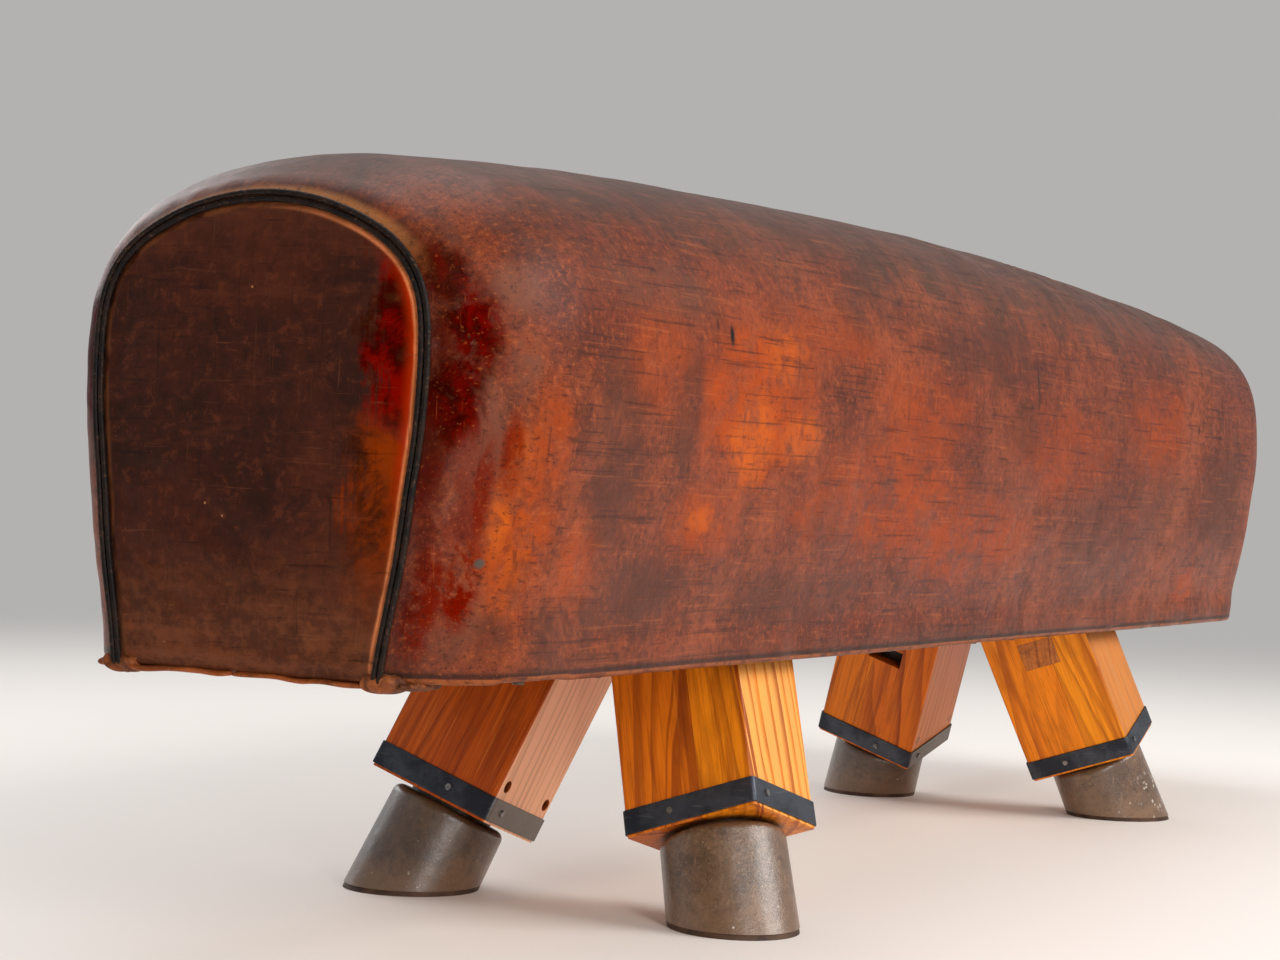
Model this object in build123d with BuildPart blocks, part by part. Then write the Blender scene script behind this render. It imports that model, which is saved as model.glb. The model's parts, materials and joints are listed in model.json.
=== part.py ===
from build123d import *
import os
from math import sqrt

# Leather gymnastic horse with four short telescoping legs, in millimetres.
# +X runs along the horse (left to right), +Y across it (front to back), +Z up.
# The origin is on the floor, centred between the four feet.

# ---- Body dimensions --------------------------------------------------------
END_X = 890.0          # end plane of the leather cover, where the piping sits
ROUND = 120.0          # length over which each end rounds in to the piping
ROUND_EXP = 3.0        # shape of that rounding
CROWN = 24.6           # lengthwise crown of the top, measured at CROWN_X
CROWN_X = 750.0
CROWN_EXP = 1.5        # how the crown fades from the ridge down to the hem
END_RISE = 7.0         # right end's ridge is this far above the mean, left end's below
Z_BOTTOM = 197.0       # underside of the body
Z_TOP = 566.3          # ridge at mid-length
LEATHER = 4.0          # leather with its lining
BODY_INSET = LEATHER + 1.0        # leather's outer face to the stuffing and base board

# Full section from the hem over the shoulder to the ridge: (half width, height)
FULL = [
    (158, 197.0), (159.5, 228.5), (168.2, 272.4), (177, 329.9), (181.6, 377.4),
    (182.4, 410.8), (180.3, 443.7), (173.2, 475.6), (159, 505.1), (138, 528.4),
    (109.5, 546.0), (76, 557.2), (38.5, 564.0), (0, 566.3),
]
# Outline of the end panel along the piping, matching FULL point by point
ARCH = [
    (103, 198.0), (108, 229.4), (115, 267.0), (121, 315.9), (126, 358.8),
    (127.5, 395.6), (126.5, 420.1), (122.5, 440.5), (113, 459.0), (99, 473.3),
    (79, 485.6), (54, 495.8), (27, 502.0), (0, 504.0),
]
# Places along X where the cover's section is drawn
STATIONS = [
    -890, -882, -870, -850, -820, -780, -740, -560, -300, 0,
    300, 560, 740, 780, 820, 850, 870, 882, 890,
]

# ---- Base board and hem -----------------------------------------------------
BASE_T = 26.0
BASE_X = 883.0                    # half length of the base board
BASE_BOTTOM = Z_BOTTOM + 3.0
BASE_TOP = BASE_BOTTOM + BASE_T
HEM_BOTTOM = Z_BOTTOM + 0.2
HEM_T = 2.7
HEM_X = 850                       # half length of the side hem strips
TACK_HOLE_R = 1.2
TACK_HOLE_DEPTH = 13.0            # measured up from the underside of the body

# ---- Wooden core ------------------------------------------------------------
BOARD = 16.0                      # thickness of the side boards
CORE_X = 780.0                    # half length of the stave-covered core
STAVE_GAP = 0.05                  # taken off each edge of a stave
SIDE_GAP = 0.1                    # clearance below the side boards and the outer staves
CORE_GAP = 0.5                    # clearance between the core and the stuffing
# Half outlines, bottom to top: (half width, height)
CORE = [(146, BASE_TOP), (150, 396), (127, 458), (68, 498)]
STAVE_INNER = [(CORE[1][0] - BOARD, CORE[1][1] - 1), (114.5, 446.5), (63.0, 482.0)]
BULKHEAD = [(129.6, BASE_TOP + 0.3), (133.6, 394.5), (114.0, 446.0), (62.8, 481.7)]
BULKHEAD_T = 18.0
BULKHEADS = {                     # name: centre along X
    "end_left": -770.0, "leg_left": -300.0, "centre": 0.0,
    "leg_right": 300.0, "end_right": 770.0,
}
BEAM_X = 857.0                    # half length of the ridge beam
BEAM_Y, BEAM_H = 60, 21.5
BEAM_Z = 471                      # centre height of the ridge beam

# ---- End assemblies ---------------------------------------------------------
PANEL_T = 5.0
END_BOARD_X = 858.0               # inner face of the end board
END_BOARD_T = 22.0
END_PAD_STATIONS = (783.0, 800.0, 820.0, 840.0, 857.5)
SADDLE_STATIONS = (-780, -740, -560, -300, 0, 300, 560, 740, 780)
CORD_R = 3.0                      # piping cord radius
CORD_X = END_X + CORD_R + 0.05
CORD_INSETS = {"outer": 1.0, "inner": 8.0}

# ---- Legs: heights are along the leg axis from the underside of the body ----
LEG_X = 401.0                     # leg axis at the underside of the body
LEG_Y = 73.5
SPLAY_X = 0.321                   # tangent of the splay along the horse
SPLAY_Y = 0.343                   # tangent of the splay across the horse
SOCKET_X = 95.0                   # timber socket, measured along the horse
SOCKET_Y = 110.0                  # timber socket, measured across the horse
HALF_X = SOCKET_X / 2
HALF_Y = SOCKET_Y / 2
SOCKET_TOP = 48.0                 # above the underside of the body
SOCKET_END = 145.0                # below the underside of the body
LAMINATION = 44.0                 # thickness of the outer lamination
SEAM_Y = HALF_Y - LAMINATION      # lamination joint, from the axis towards the outside
SEAM_GAP = 0.025                  # taken off each side of the joint
VOID_START, VOID_LENGTH = -40, 140  # cut for a socket through the body's pieces

POST_R = 34.5
BORE_R = POST_R + 0.1
POST_TOP = 44.0
POST_LENGTH = POST_TOP + 240.0    # before it is cut off level
POST_END_Z = 12.0                 # height of the post's lower end above the floor
SHOE_TOP = -(SOCKET_END + 3.0)    # gap of 3 below the socket when fully lowered
SHOE_R_TOP = 47.5
SHOE_R_LOW = 49.5
SHOE_TAPER = 90.0                 # length over which the shoe widens
SHOE_LENGTH = 140.0               # before it is cut off level
SOLE_T = 4.0
SHOE_BOTTOM = Plane.XY.offset(SOLE_T + 0.02)

BAND_H = 19.0
BAND_T = 1.5
BAND_GAP = 0.05                   # between the band and the socket
BAND_LOW = 143.0                  # lower edge of the band, below the body
BAND_SCREW_Z = -(BAND_LOW - BAND_H / 2)
BAND_SCREW_HOLE_DEPTH = 15.2
LAM_SCREW_X = 38.0                # lamination screws, either side of the axis
LAM_SCREW_Z = -(BAND_LOW - BAND_H) + 11.0
OVERCUT = 1                       # sockets' side cuts start this far outside the wood

# Each leg's side along X (-1 left, 1 right) and along Y (-1 front, 1 back)
LEGS = {"fl": (-1, -1), "bl": (-1, 1), "fr": (1, -1), "br": (1, 1)}
# Catch window of each leg: (centre height, height)
WINDOWS = {"fl": (-29.5, 18.0), "br": (-29.5, 18.0), "fr": (-16.0, 28.0), "bl": (-16.0, 28.0)}
WINDOW_W = 38.0
WINDOW_PLUG_GAP = 0.4             # plug smaller than its window, over its full size
PLUGGED_WINDOWS = ("fr", "bl")
PLUGGED_SCREWS = ("fl", "fr", "br")   # the back left leg's screw holes stay open

os.makedirs("parts", exist_ok=True)


def save(builder, label):
    builder.part.label = label
    export_step(builder.part, "parts/" + label + ".step")


# ---- Outlines ---------------------------------------------------------------
def half_section(x):
    """Half outline of the leather's outer face at station x."""
    blend = (1.0 - min(1.0, (END_X - abs(x)) / ROUND)) ** ROUND_EXP
    drop = CROWN * (abs(x) / CROWN_X) ** 2
    points = []
    for (full_y, full_z), (arch_y, arch_z) in zip(FULL, ARCH):
        fade = max(0.0, (full_z - Z_BOTTOM) / (Z_TOP - Z_BOTTOM)) ** CROWN_EXP
        z = (full_z - drop * fade) * (1 - blend) + arch_z * blend
        z += END_RISE * x / END_X * (z - Z_BOTTOM) / (Z_TOP - Z_BOTTOM)
        points.append((full_y * (1 - blend) + arch_y * blend, z))
    return points


def inset(points, distance):
    """Move a half outline inwards; its first point stays on the same level."""
    moved = []
    last = len(points) - 1
    for i, (y, z) in enumerate(points):
        before, after = points[max(0, i - 1)], points[min(last, i + 1)]
        run, rise = after[0] - before[0], after[1] - before[1]
        if i == last:
            run, rise = -1.0, 0.0         # level at the ridge
        length = sqrt(run * run + rise * rise)
        if i == 0:
            moved.append((y - distance / max(0.2, rise / length), z))
        else:
            moved.append((y - rise / length * distance, z + run / length * distance))
    return moved


def mirrored(half):
    """Mirror a half outline, to run from the -Y side over the top to the +Y side."""
    return [(-y, z) for y, z in half] + [(y, z) for y, z in reversed(half)]


def over_ridge(half):
    """Mirror a half outline whose last point is the shared ridge point."""
    return [(-y, z) for y, z in half] + [(y, z) for y, z in reversed(half[:-1])]


def base_half_width(x):
    return inset(half_section(x), BODY_INSET)[0][0]


# Edge of the base board: (x, half width)
BASE_EDGE = [(x, base_half_width(x)) for x in STATIONS[1:-1]]
BASE_EDGE[0] = (-BASE_X, BASE_EDGE[0][1])
BASE_EDGE[-1] = (BASE_X, BASE_EDGE[-1][1])


def near_leg(x, y, reach=76):
    return any(
        abs(x - side_x * LEG_X) < reach and abs(y - side_y * LEG_Y) < reach
        for side_x, side_y in LEGS.values()
    )


def tack_places():
    """Hem tacks along both sides and both ends, left out around the sockets."""
    places = []
    for x in range(-800, 801, 100):
        y = base_half_width(x) - 8.0
        places += [(x, y), (x, -y)]
    for y in range(-72, 73, 36):
        places += [(-873.0, y), (873.0, y)]
    return [(x, y) for x, y in places if not near_leg(x, y)]


TACKS = tack_places()


# ---- Leg frames -------------------------------------------------------------
def leg_frame(side_x, side_y):
    """Plane at a leg: normal up the leg axis, x towards +X and y towards +Y."""
    up = Vector(-side_x * SPLAY_X, -side_y * SPLAY_Y, 1.0).normalized()
    along = Vector(1, 0, 0) - up * up.X
    origin = (side_x * LEG_X, side_y * LEG_Y, Z_BOTTOM)
    return Plane(origin=origin, x_dir=along.normalized(), z_dir=up)


FRAMES = {leg: leg_frame(*sides) for leg, sides in LEGS.items()}
VOID_PLANES = [frame.offset(VOID_START) for frame in FRAMES.values()]


def leg_point(frame, x, y, z):
    return frame.origin + frame.x_dir * x + frame.y_dir * y + frame.z_dir * z


def band_screw_planes(leg):
    """Outward planes on the band's four faces, one at each screw."""
    frame = FRAMES[leg]
    inward = -15.0 * LEGS[leg][1]
    planes = []
    # Face direction in the leg frame, then the screw's shift along the face
    for face_x, face_y, shift_x, shift_y in (
        (1, 0, 0, inward), (-1, 0, 0, inward), (0, 1, 30, 0), (0, -1, -30, 0),
    ):
        x = face_x * (HALF_X + BAND_T + BAND_GAP) + shift_x
        y = face_y * (HALF_Y + BAND_T + BAND_GAP) + shift_y
        planes.append(Plane(
            origin=leg_point(frame, x, y, BAND_SCREW_Z),
            x_dir=frame.z_dir,
            z_dir=frame.x_dir * face_x + frame.y_dir * face_y,
        ))
    return planes


def lamination_screw_planes(leg, distance):
    """Planes at a leg's two lamination screws, facing the middle line of the horse."""
    frame = FRAMES[leg]
    inward = -LEGS[leg][1]
    return [
        Plane(
            origin=leg_point(frame, x, inward * distance, LAM_SCREW_Z),
            x_dir=frame.z_dir,
            z_dir=frame.y_dir * inward,
        )
        for x in (-LAM_SCREW_X, LAM_SCREW_X)
    ]


def window_plane(leg, distance):
    """Plane at a leg's catch window, facing mid-length of the horse."""
    frame = FRAMES[leg]
    inward = -LEGS[leg][0]
    return Plane(
        origin=leg_point(frame, inward * distance, 0, WINDOWS[leg][0]),
        x_dir=frame.y_dir,
        z_dir=frame.x_dir * inward,
    )


# ---- Cover and stuffing -----------------------------------------------------
def leather_cover():
    """One long hide over the top and both sides."""
    with BuildPart() as cover:
        for x in STATIONS:
            outer = over_ridge(half_section(x))
            inner = over_ridge(inset(half_section(x), LEATHER))
            with BuildSketch(Plane.YZ.offset(x)):
                with BuildLine():
                    Spline(*outer)
                    Line(outer[-1], inner[-1])
                    Spline(*reversed(inner))
                    Line(inner[0], outer[0])
                make_face()
        loft()
    save(cover, "leather_cover")


def padding_saddle():
    """Stuffing between the leather and the wooden core."""
    core_half = [(y + CORE_GAP, z + (CORE_GAP if i > 1 else 0)) for i, (y, z) in enumerate(CORE)]
    with BuildPart() as padding:
        for x in SADDLE_STATIONS:
            pad_half = inset(half_section(x)[1:], BODY_INSET)
            outer = over_ridge(pad_half)
            inner = mirrored([(core_half[0][0], pad_half[0][1])] + core_half[1:])
            with BuildSketch(Plane.YZ.offset(x)):
                with BuildLine():
                    Spline(*outer)
                    Line(outer[-1], inner[-1])
                    Polyline(*reversed(inner))
                    Line(inner[0], outer[0])
                make_face()
        loft()
    save(padding, "padding_saddle")


# ---- End assemblies ---------------------------------------------------------
def end_slab(side, x, thickness, outline, label):
    """Flat slab across one end, from x outwards."""
    with BuildPart() as slab:
        with BuildSketch(Plane.YZ.offset(side * x)):
            with BuildLine():
                Spline(*outline)
                Line(outline[-1], outline[0])
            make_face()
        extrude(amount=side * thickness)
    save(slab, label)


def padding_end(side, label):
    """Pad between the core and the end board, slotted for the ridge beam."""
    with BuildPart() as padding:
        for x in END_PAD_STATIONS:
            outline = over_ridge(inset(half_section(side * x)[1:], LEATHER + 1.5))
            with BuildSketch(Plane.YZ.offset(side * x)):
                with BuildLine():
                    Spline(*outline)
                    Line(outline[-1], outline[0])
                make_face()
        loft()
        with BuildSketch(Plane.YZ.offset(side * END_PAD_STATIONS[0])):
            with Locations((0, BEAM_Z)):
                Rectangle(BEAM_Y + 1, BEAM_H + 1.5)
        extrude(amount=side * 80.0, mode=Mode.SUBTRACT)
    save(padding, label)


def piping(side, path, label):
    """Round cord along the edge of an end panel."""
    with BuildPart() as cord:
        with BuildLine(Plane.YZ.offset(side * CORD_X)) as cord_path:
            Spline(*path)
        with BuildSketch(Plane(origin=cord_path.line @ 0, z_dir=cord_path.line % 0)):
            Circle(CORD_R)
        sweep()
    save(cord, label)


# ---- Base board and hem -----------------------------------------------------
def base_board():
    """Board tapered at its ends, cut out for the four sockets."""
    front = [(x, -y) for x, y in BASE_EDGE]
    back = [(x, y) for x, y in reversed(BASE_EDGE)]
    with BuildPart() as board:
        with BuildSketch(Plane.XY.offset(BASE_BOTTOM)):
            with BuildLine():
                Polyline(*(front + back), close=True)
            make_face()
        extrude(amount=BASE_T)
        for void_plane in VOID_PLANES:
            with BuildSketch(void_plane):
                Rectangle(SOCKET_X + 0.2, SOCKET_Y + 0.2)
            extrude(amount=VOID_LENGTH, mode=Mode.SUBTRACT)
        with BuildSketch(Plane.XY.offset(Z_BOTTOM)):
            with Locations(*TACKS):
                Circle(TACK_HOLE_R)
        extrude(amount=TACK_HOLE_DEPTH, mode=Mode.SUBTRACT)
    save(board, "base_board")


def hem_side(side, label):
    """Leather turned under along one side of the base board."""
    edge = [(x, side * (y - 0.3)) for x, y in BASE_EDGE if abs(x) <= HEM_X]
    inner_edge = [(x, side * (y - 26.0)) for x, y in BASE_EDGE if abs(x) <= HEM_X]
    with BuildPart() as hem:
        with BuildSketch(Plane.XY.offset(HEM_BOTTOM)):
            with BuildLine():
                Polyline(*(edge + list(reversed(inner_edge))), close=True)
            make_face()
        extrude(amount=HEM_T)
        for void_plane in VOID_PLANES:
            with BuildSketch(void_plane):
                Rectangle(SOCKET_X + 3.0, SOCKET_Y + 3.0)
            extrude(amount=VOID_LENGTH, mode=Mode.SUBTRACT)
        with BuildSketch(Plane.XY.offset(Z_BOTTOM)):
            with Locations(*TACKS):
                Circle(TACK_HOLE_R)
        extrude(amount=TACK_HOLE_DEPTH, mode=Mode.SUBTRACT)
    save(hem, label)


def hem_end(side, label):
    """Leather turned under at one end, with a narrow slot in its outer edge."""
    with BuildPart() as hem:
        with BuildSketch(Plane.XY.offset(HEM_BOTTOM)):
            with Locations((side * 867.0, 0)):
                Rectangle(31.0, 176.0)
        extrude(amount=HEM_T)
        with BuildSketch(Plane.XY.offset(Z_BOTTOM)):
            with Locations(*TACKS):
                Circle(TACK_HOLE_R)
            with Locations((side * 876.0, 10.0)):
                Rectangle(16.0, 2.5)
        extrude(amount=TACK_HOLE_DEPTH, mode=Mode.SUBTRACT)
    save(hem, label)


def hem_tacks():
    """Tacks with rounded heads below the hem and shanks up into the base board."""
    with BuildPart() as tacks:
        with BuildSketch(Plane.XY.offset(HEM_BOTTOM)):
            with Locations(*TACKS):
                Circle(4.0)
        extrude(amount=-1.4)
        fillet(tacks.edges().group_by(Axis.Z)[0], 1.0)
        with BuildSketch(Plane.XY.offset(HEM_BOTTOM)):
            with Locations(*TACKS):
                Circle(TACK_HOLE_R - 0.05)
        extrude(amount=12.0)
    save(tacks, "hem_tacks")


# ---- Wooden core ------------------------------------------------------------
def core_board(corners, label):
    """Board of constant section, as long as the core."""
    with BuildPart() as board:
        with BuildSketch(Plane.YZ.offset(-CORE_X)):
            with BuildLine():
                Polyline(*corners, close=True)
            make_face()
        extrude(amount=2 * CORE_X)
    save(board, label)


def side_board(side, label):
    bottom_y, bottom_z = CORE[0][0], CORE[0][1] + SIDE_GAP
    half = [(bottom_y, bottom_z), CORE[1], STAVE_INNER[0], (bottom_y - BOARD, bottom_z)]
    core_board([(side * y, z) for y, z in half], label)


def crown_staves():
    """Five staves over the top of the core, numbered from front to back."""
    outer, inner = mirrored(CORE[1:]), mirrored(STAVE_INNER)
    for i in range(5):
        start, end = outer[i], outer[i + 1]
        run, rise = end[0] - start[0], end[1] - start[1]
        length = sqrt(run * run + rise * rise)
        trim_y, trim_z = run / length * STAVE_GAP, rise / length * STAVE_GAP
        # The two outer staves are lifted clear of the side boards
        start_lift = SIDE_GAP if i == 0 else 0.0
        end_lift = SIDE_GAP if i == 4 else 0.0
        corners = [
            (start[0] + trim_y, start[1] + trim_z + start_lift),
            (end[0] - trim_y, end[1] - trim_z + end_lift),
            (inner[i + 1][0] - trim_y, inner[i + 1][1] - trim_z + end_lift),
            (inner[i][0] + trim_y, inner[i][1] + trim_z + start_lift),
        ]
        core_board(corners, f"crown_stave_{i + 1}")


def ridge_beam():
    with BuildPart() as beam:
        with BuildSketch(Plane.YZ.offset(-BEAM_X)):
            with Locations((0, BEAM_Z)):
                Rectangle(BEAM_Y, BEAM_H)
        extrude(amount=2 * BEAM_X)
        chamfer(beam.edges().filter_by(Axis.X).group_by(Axis.Z)[0], 3)
    save(beam, "ridge_beam")


def bulkhead(x, label):
    """Cross wall notched for the ridge beam and cut clear of the sockets."""
    with BuildPart() as wall:
        with BuildSketch(Plane.YZ.offset(x - BULKHEAD_T / 2)):
            with BuildLine():
                Polyline(*mirrored(BULKHEAD), close=True)
            make_face()
            with Locations((0, BEAM_Z + 1)):
                Rectangle(BEAM_Y + 0.4, BEAM_H + 2.5, mode=Mode.SUBTRACT)
        extrude(amount=BULKHEAD_T)
        for void_plane in VOID_PLANES:
            with BuildSketch(void_plane):
                Rectangle(SOCKET_X + 1.0, SOCKET_Y + 1.0)
            extrude(amount=VOID_LENGTH, mode=Mode.SUBTRACT)
    save(wall, label)


# ---- Screws and plugs, each kind one piece for all legs ---------------------
def band_screws():
    with BuildPart() as screws:
        for leg in LEGS:
            for screw_plane in band_screw_planes(leg):
                with BuildSketch(screw_plane):
                    Circle(2.6)
                extrude(amount=1.4)
                with BuildSketch(screw_plane):
                    Circle(1.6)
                extrude(amount=-15.0)
    save(screws, "band_screws")


def lamination_screws():
    with BuildPart() as screws:
        for leg in LEGS:
            for screw_plane in lamination_screw_planes(leg, HALF_Y - 9.0):
                with BuildSketch(screw_plane):
                    Circle(4.6)
                extrude(amount=-3.0)
                with BuildSketch(screw_plane):
                    Circle(2.5)
                extrude(amount=-72.0)
    save(screws, "lamination_screws")


def screw_plugs():
    """Round plugs over the lamination screws."""
    with BuildPart() as plugs:
        for leg in PLUGGED_SCREWS:
            for screw_plane in lamination_screw_planes(leg, HALF_Y):
                with BuildSketch(screw_plane):
                    Circle(4.95)
                extrude(amount=-8.0)
    save(plugs, "screw_plugs")


def window_plugs():
    with BuildPart() as plugs:
        for leg in PLUGGED_WINDOWS:
            with BuildSketch(window_plane(leg, HALF_X)):
                Rectangle(WINDOW_W - WINDOW_PLUG_GAP, WINDOWS[leg][1] - WINDOW_PLUG_GAP)
            extrude(amount=-10.0)
    save(plugs, "window_plugs")


# ---- Legs -------------------------------------------------------------------
def socket(leg, layer, y_near, y_far):
    """One lamination of a socket; y runs from the leg axis towards the outside."""
    side_y = LEGS[leg][1]
    window_depth = 11.2 if leg in PLUGGED_WINDOWS else 24.0
    with BuildPart() as timber:
        with BuildSketch(FRAMES[leg].offset(-SOCKET_END)) as block:
            with Locations((0, side_y * (y_near + y_far) / 2)):
                Rectangle(SOCKET_X, y_far - y_near)
            # Round only the corners away from the lamination joint
            far_corners = -1 if (layer == "outer") == (side_y > 0) else 0
            fillet(block.vertices().group_by(Axis.Y)[far_corners], 2.5)
            Circle(BORE_R, mode=Mode.SUBTRACT)
        extrude(amount=SOCKET_END + SOCKET_TOP)
        screw_planes = lamination_screw_planes(leg, HALF_Y + OVERCUT)
        if layer == "inner":
            # Counterbores for the screw heads and plugs
            for screw_plane in screw_planes:
                with BuildSketch(screw_plane):
                    Circle(5.0)
                extrude(amount=-14.0, mode=Mode.SUBTRACT)
        for screw_plane in screw_planes:
            with BuildSketch(screw_plane):
                Circle(2.55)
            extrude(amount=-83.0, mode=Mode.SUBTRACT)
        for screw_plane in band_screw_planes(leg):
            with BuildSketch(screw_plane):
                Circle(1.65)
            extrude(amount=-BAND_SCREW_HOLE_DEPTH, mode=Mode.SUBTRACT)
        with BuildSketch(window_plane(leg, HALF_X + OVERCUT)):
            Rectangle(WINDOW_W, WINDOWS[leg][1])
        extrude(amount=-window_depth, mode=Mode.SUBTRACT)
    save(timber, f"socket_{layer}_{leg}")


def socket_band(leg):
    """Metal band around the lower end of a socket."""
    inner_x, inner_y = SOCKET_X + 2 * BAND_GAP, SOCKET_Y + 2 * BAND_GAP
    with BuildPart() as band:
        with BuildSketch(FRAMES[leg].offset(-BAND_LOW)):
            RectangleRounded(inner_x + 2 * BAND_T, inner_y + 2 * BAND_T, 3.5)
            RectangleRounded(inner_x, inner_y, 2.4, mode=Mode.SUBTRACT)
        extrude(amount=BAND_H)
        for screw_plane in band_screw_planes(leg):
            with BuildSketch(screw_plane):
                Circle(1.7)
            extrude(amount=-BAND_SCREW_HOLE_DEPTH, mode=Mode.SUBTRACT)
    save(band, "socket_band_" + leg)


def leg_post(leg):
    """Round lower leg, sliding in the socket's bore."""
    with BuildPart() as post:
        with BuildSketch(FRAMES[leg].offset(POST_TOP)):
            Circle(POST_R)
        extrude(amount=-POST_LENGTH)
        split(bisect_by=Plane.XY.offset(POST_END_Z), keep=Keep.TOP)
        chamfer(post.faces().sort_by(Axis.Z)[-1].edges(), 2.0)
    save(post, "leg_post_" + leg)


def foot_shoe(leg):
    """Tapered shoe around the post, with a floor beneath the post's end."""
    frame = FRAMES[leg]
    with BuildPart() as sleeve:
        with BuildSketch(Plane(origin=frame.origin, x_dir=frame.x_dir, z_dir=frame.y_dir * -1)):
            with BuildLine():
                Polyline(
                    (0, SHOE_TOP),
                    (SHOE_R_TOP, SHOE_TOP),
                    (SHOE_R_LOW, SHOE_TOP - SHOE_TAPER),
                    (SHOE_R_LOW, SHOE_TOP - SHOE_LENGTH),
                    (0, SHOE_TOP - SHOE_LENGTH),
                    close=True,
                )
            make_face()
        revolve(axis=Axis(frame.origin, frame.z_dir))
        fillet(sleeve.edges().filter_by(GeomType.CIRCLE).sort_by(Axis.Z)[-1], 7.0)
        split(bisect_by=SHOE_BOTTOM, keep=Keep.TOP)
        with BuildSketch(frame.offset(POST_TOP)):
            Circle(POST_R + 0.05)
        extrude(amount=-POST_LENGTH, mode=Mode.SUBTRACT)
    with BuildPart() as floor:
        with BuildSketch(frame.offset(POST_TOP)):
            Circle(POST_R + 3.0)
        extrude(amount=-POST_LENGTH)
        split(bisect_by=SHOE_BOTTOM, keep=Keep.TOP)
        split(bisect_by=Plane.XY.offset(POST_END_Z - 0.05), keep=Keep.BOTTOM)
    with BuildPart() as shoe:
        add(sleeve.part)
        add(floor.part)
    save(shoe, "foot_shoe_" + leg)


def foot_sole(leg):
    """Thin sole between the shoe and the floor."""
    with BuildPart() as sole:
        with BuildSketch(FRAMES[leg].offset(-100.0)):
            Circle(SHOE_R_LOW - 1.0)
        extrude(amount=-180.0)
        split(bisect_by=Plane.XY.offset(SOLE_T), keep=Keep.BOTTOM)
        split(bisect_by=Plane.XY, keep=Keep.TOP)
    save(sole, "foot_sole_" + leg)


# ---- Build everything -------------------------------------------------------
leather_cover()
padding_saddle()

for side, name in ((-1, "left"), (1, "right")):
    arch = half_section(side * END_X)
    panel_outline = over_ridge(inset(arch, LEATHER + 0.3))
    board_outline = over_ridge(inset(arch, 7.0)[1:])
    end_slab(side, END_X - PANEL_T, PANEL_T, panel_outline, "end_panel_" + name)
    end_slab(side, END_BOARD_X, END_BOARD_T, board_outline, "end_board_" + name)
    padding_end(side, "padding_end_" + name)
    for cord, cord_inset in CORD_INSETS.items():
        piping(side, over_ridge(inset(arch, cord_inset)), f"piping_{cord}_{name}")
    hem_end(side, "hem_strip_" + name)

for side, name in ((-1, "front"), (1, "back")):
    hem_side(side, "hem_strip_" + name)
    side_board(side, "side_board_" + name)

base_board()
hem_tacks()
crown_staves()
ridge_beam()
for name, x in BULKHEADS.items():
    bulkhead(x, "bulkhead_" + name)

band_screws()
lamination_screws()
screw_plugs()
window_plugs()
for leg in LEGS:
    socket(leg, "outer", SEAM_Y + SEAM_GAP, HALF_Y)
    socket(leg, "inner", -HALF_Y, SEAM_Y - SEAM_GAP)
    socket_band(leg)
    leg_post(leg)
    foot_shoe(leg)
    foot_sole(leg)
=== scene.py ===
import json
import math
import bpy
import numpy as np
from mathutils import Matrix, Vector

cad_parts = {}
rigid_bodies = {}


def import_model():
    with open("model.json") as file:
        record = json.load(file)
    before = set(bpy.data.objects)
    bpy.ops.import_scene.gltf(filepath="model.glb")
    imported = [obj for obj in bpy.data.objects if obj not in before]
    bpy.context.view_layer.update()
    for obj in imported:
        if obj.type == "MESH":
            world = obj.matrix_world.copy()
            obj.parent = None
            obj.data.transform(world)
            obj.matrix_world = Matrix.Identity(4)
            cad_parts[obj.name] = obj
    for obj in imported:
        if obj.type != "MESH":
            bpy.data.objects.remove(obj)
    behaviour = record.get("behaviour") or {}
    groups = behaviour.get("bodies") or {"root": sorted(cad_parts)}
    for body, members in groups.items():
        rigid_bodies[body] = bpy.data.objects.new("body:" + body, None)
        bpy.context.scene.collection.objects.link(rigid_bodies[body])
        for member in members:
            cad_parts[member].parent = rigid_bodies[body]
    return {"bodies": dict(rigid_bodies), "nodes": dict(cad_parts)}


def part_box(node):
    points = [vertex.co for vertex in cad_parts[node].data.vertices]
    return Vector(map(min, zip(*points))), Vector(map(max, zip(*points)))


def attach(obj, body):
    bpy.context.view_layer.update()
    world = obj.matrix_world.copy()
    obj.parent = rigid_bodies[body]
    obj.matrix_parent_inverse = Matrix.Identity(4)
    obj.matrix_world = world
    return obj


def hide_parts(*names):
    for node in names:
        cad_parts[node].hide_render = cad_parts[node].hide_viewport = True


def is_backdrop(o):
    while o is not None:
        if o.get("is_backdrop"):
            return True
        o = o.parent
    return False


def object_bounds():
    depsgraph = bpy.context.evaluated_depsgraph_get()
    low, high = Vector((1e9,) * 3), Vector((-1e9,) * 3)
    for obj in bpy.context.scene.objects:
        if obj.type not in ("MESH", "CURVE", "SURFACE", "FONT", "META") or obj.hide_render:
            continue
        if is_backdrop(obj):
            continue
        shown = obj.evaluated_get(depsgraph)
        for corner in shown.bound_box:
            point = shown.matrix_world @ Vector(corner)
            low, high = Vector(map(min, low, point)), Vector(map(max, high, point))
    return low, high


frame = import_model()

BOUNDS_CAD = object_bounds()
NODES = frame["nodes"]
BODY = "horse_body"

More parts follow.
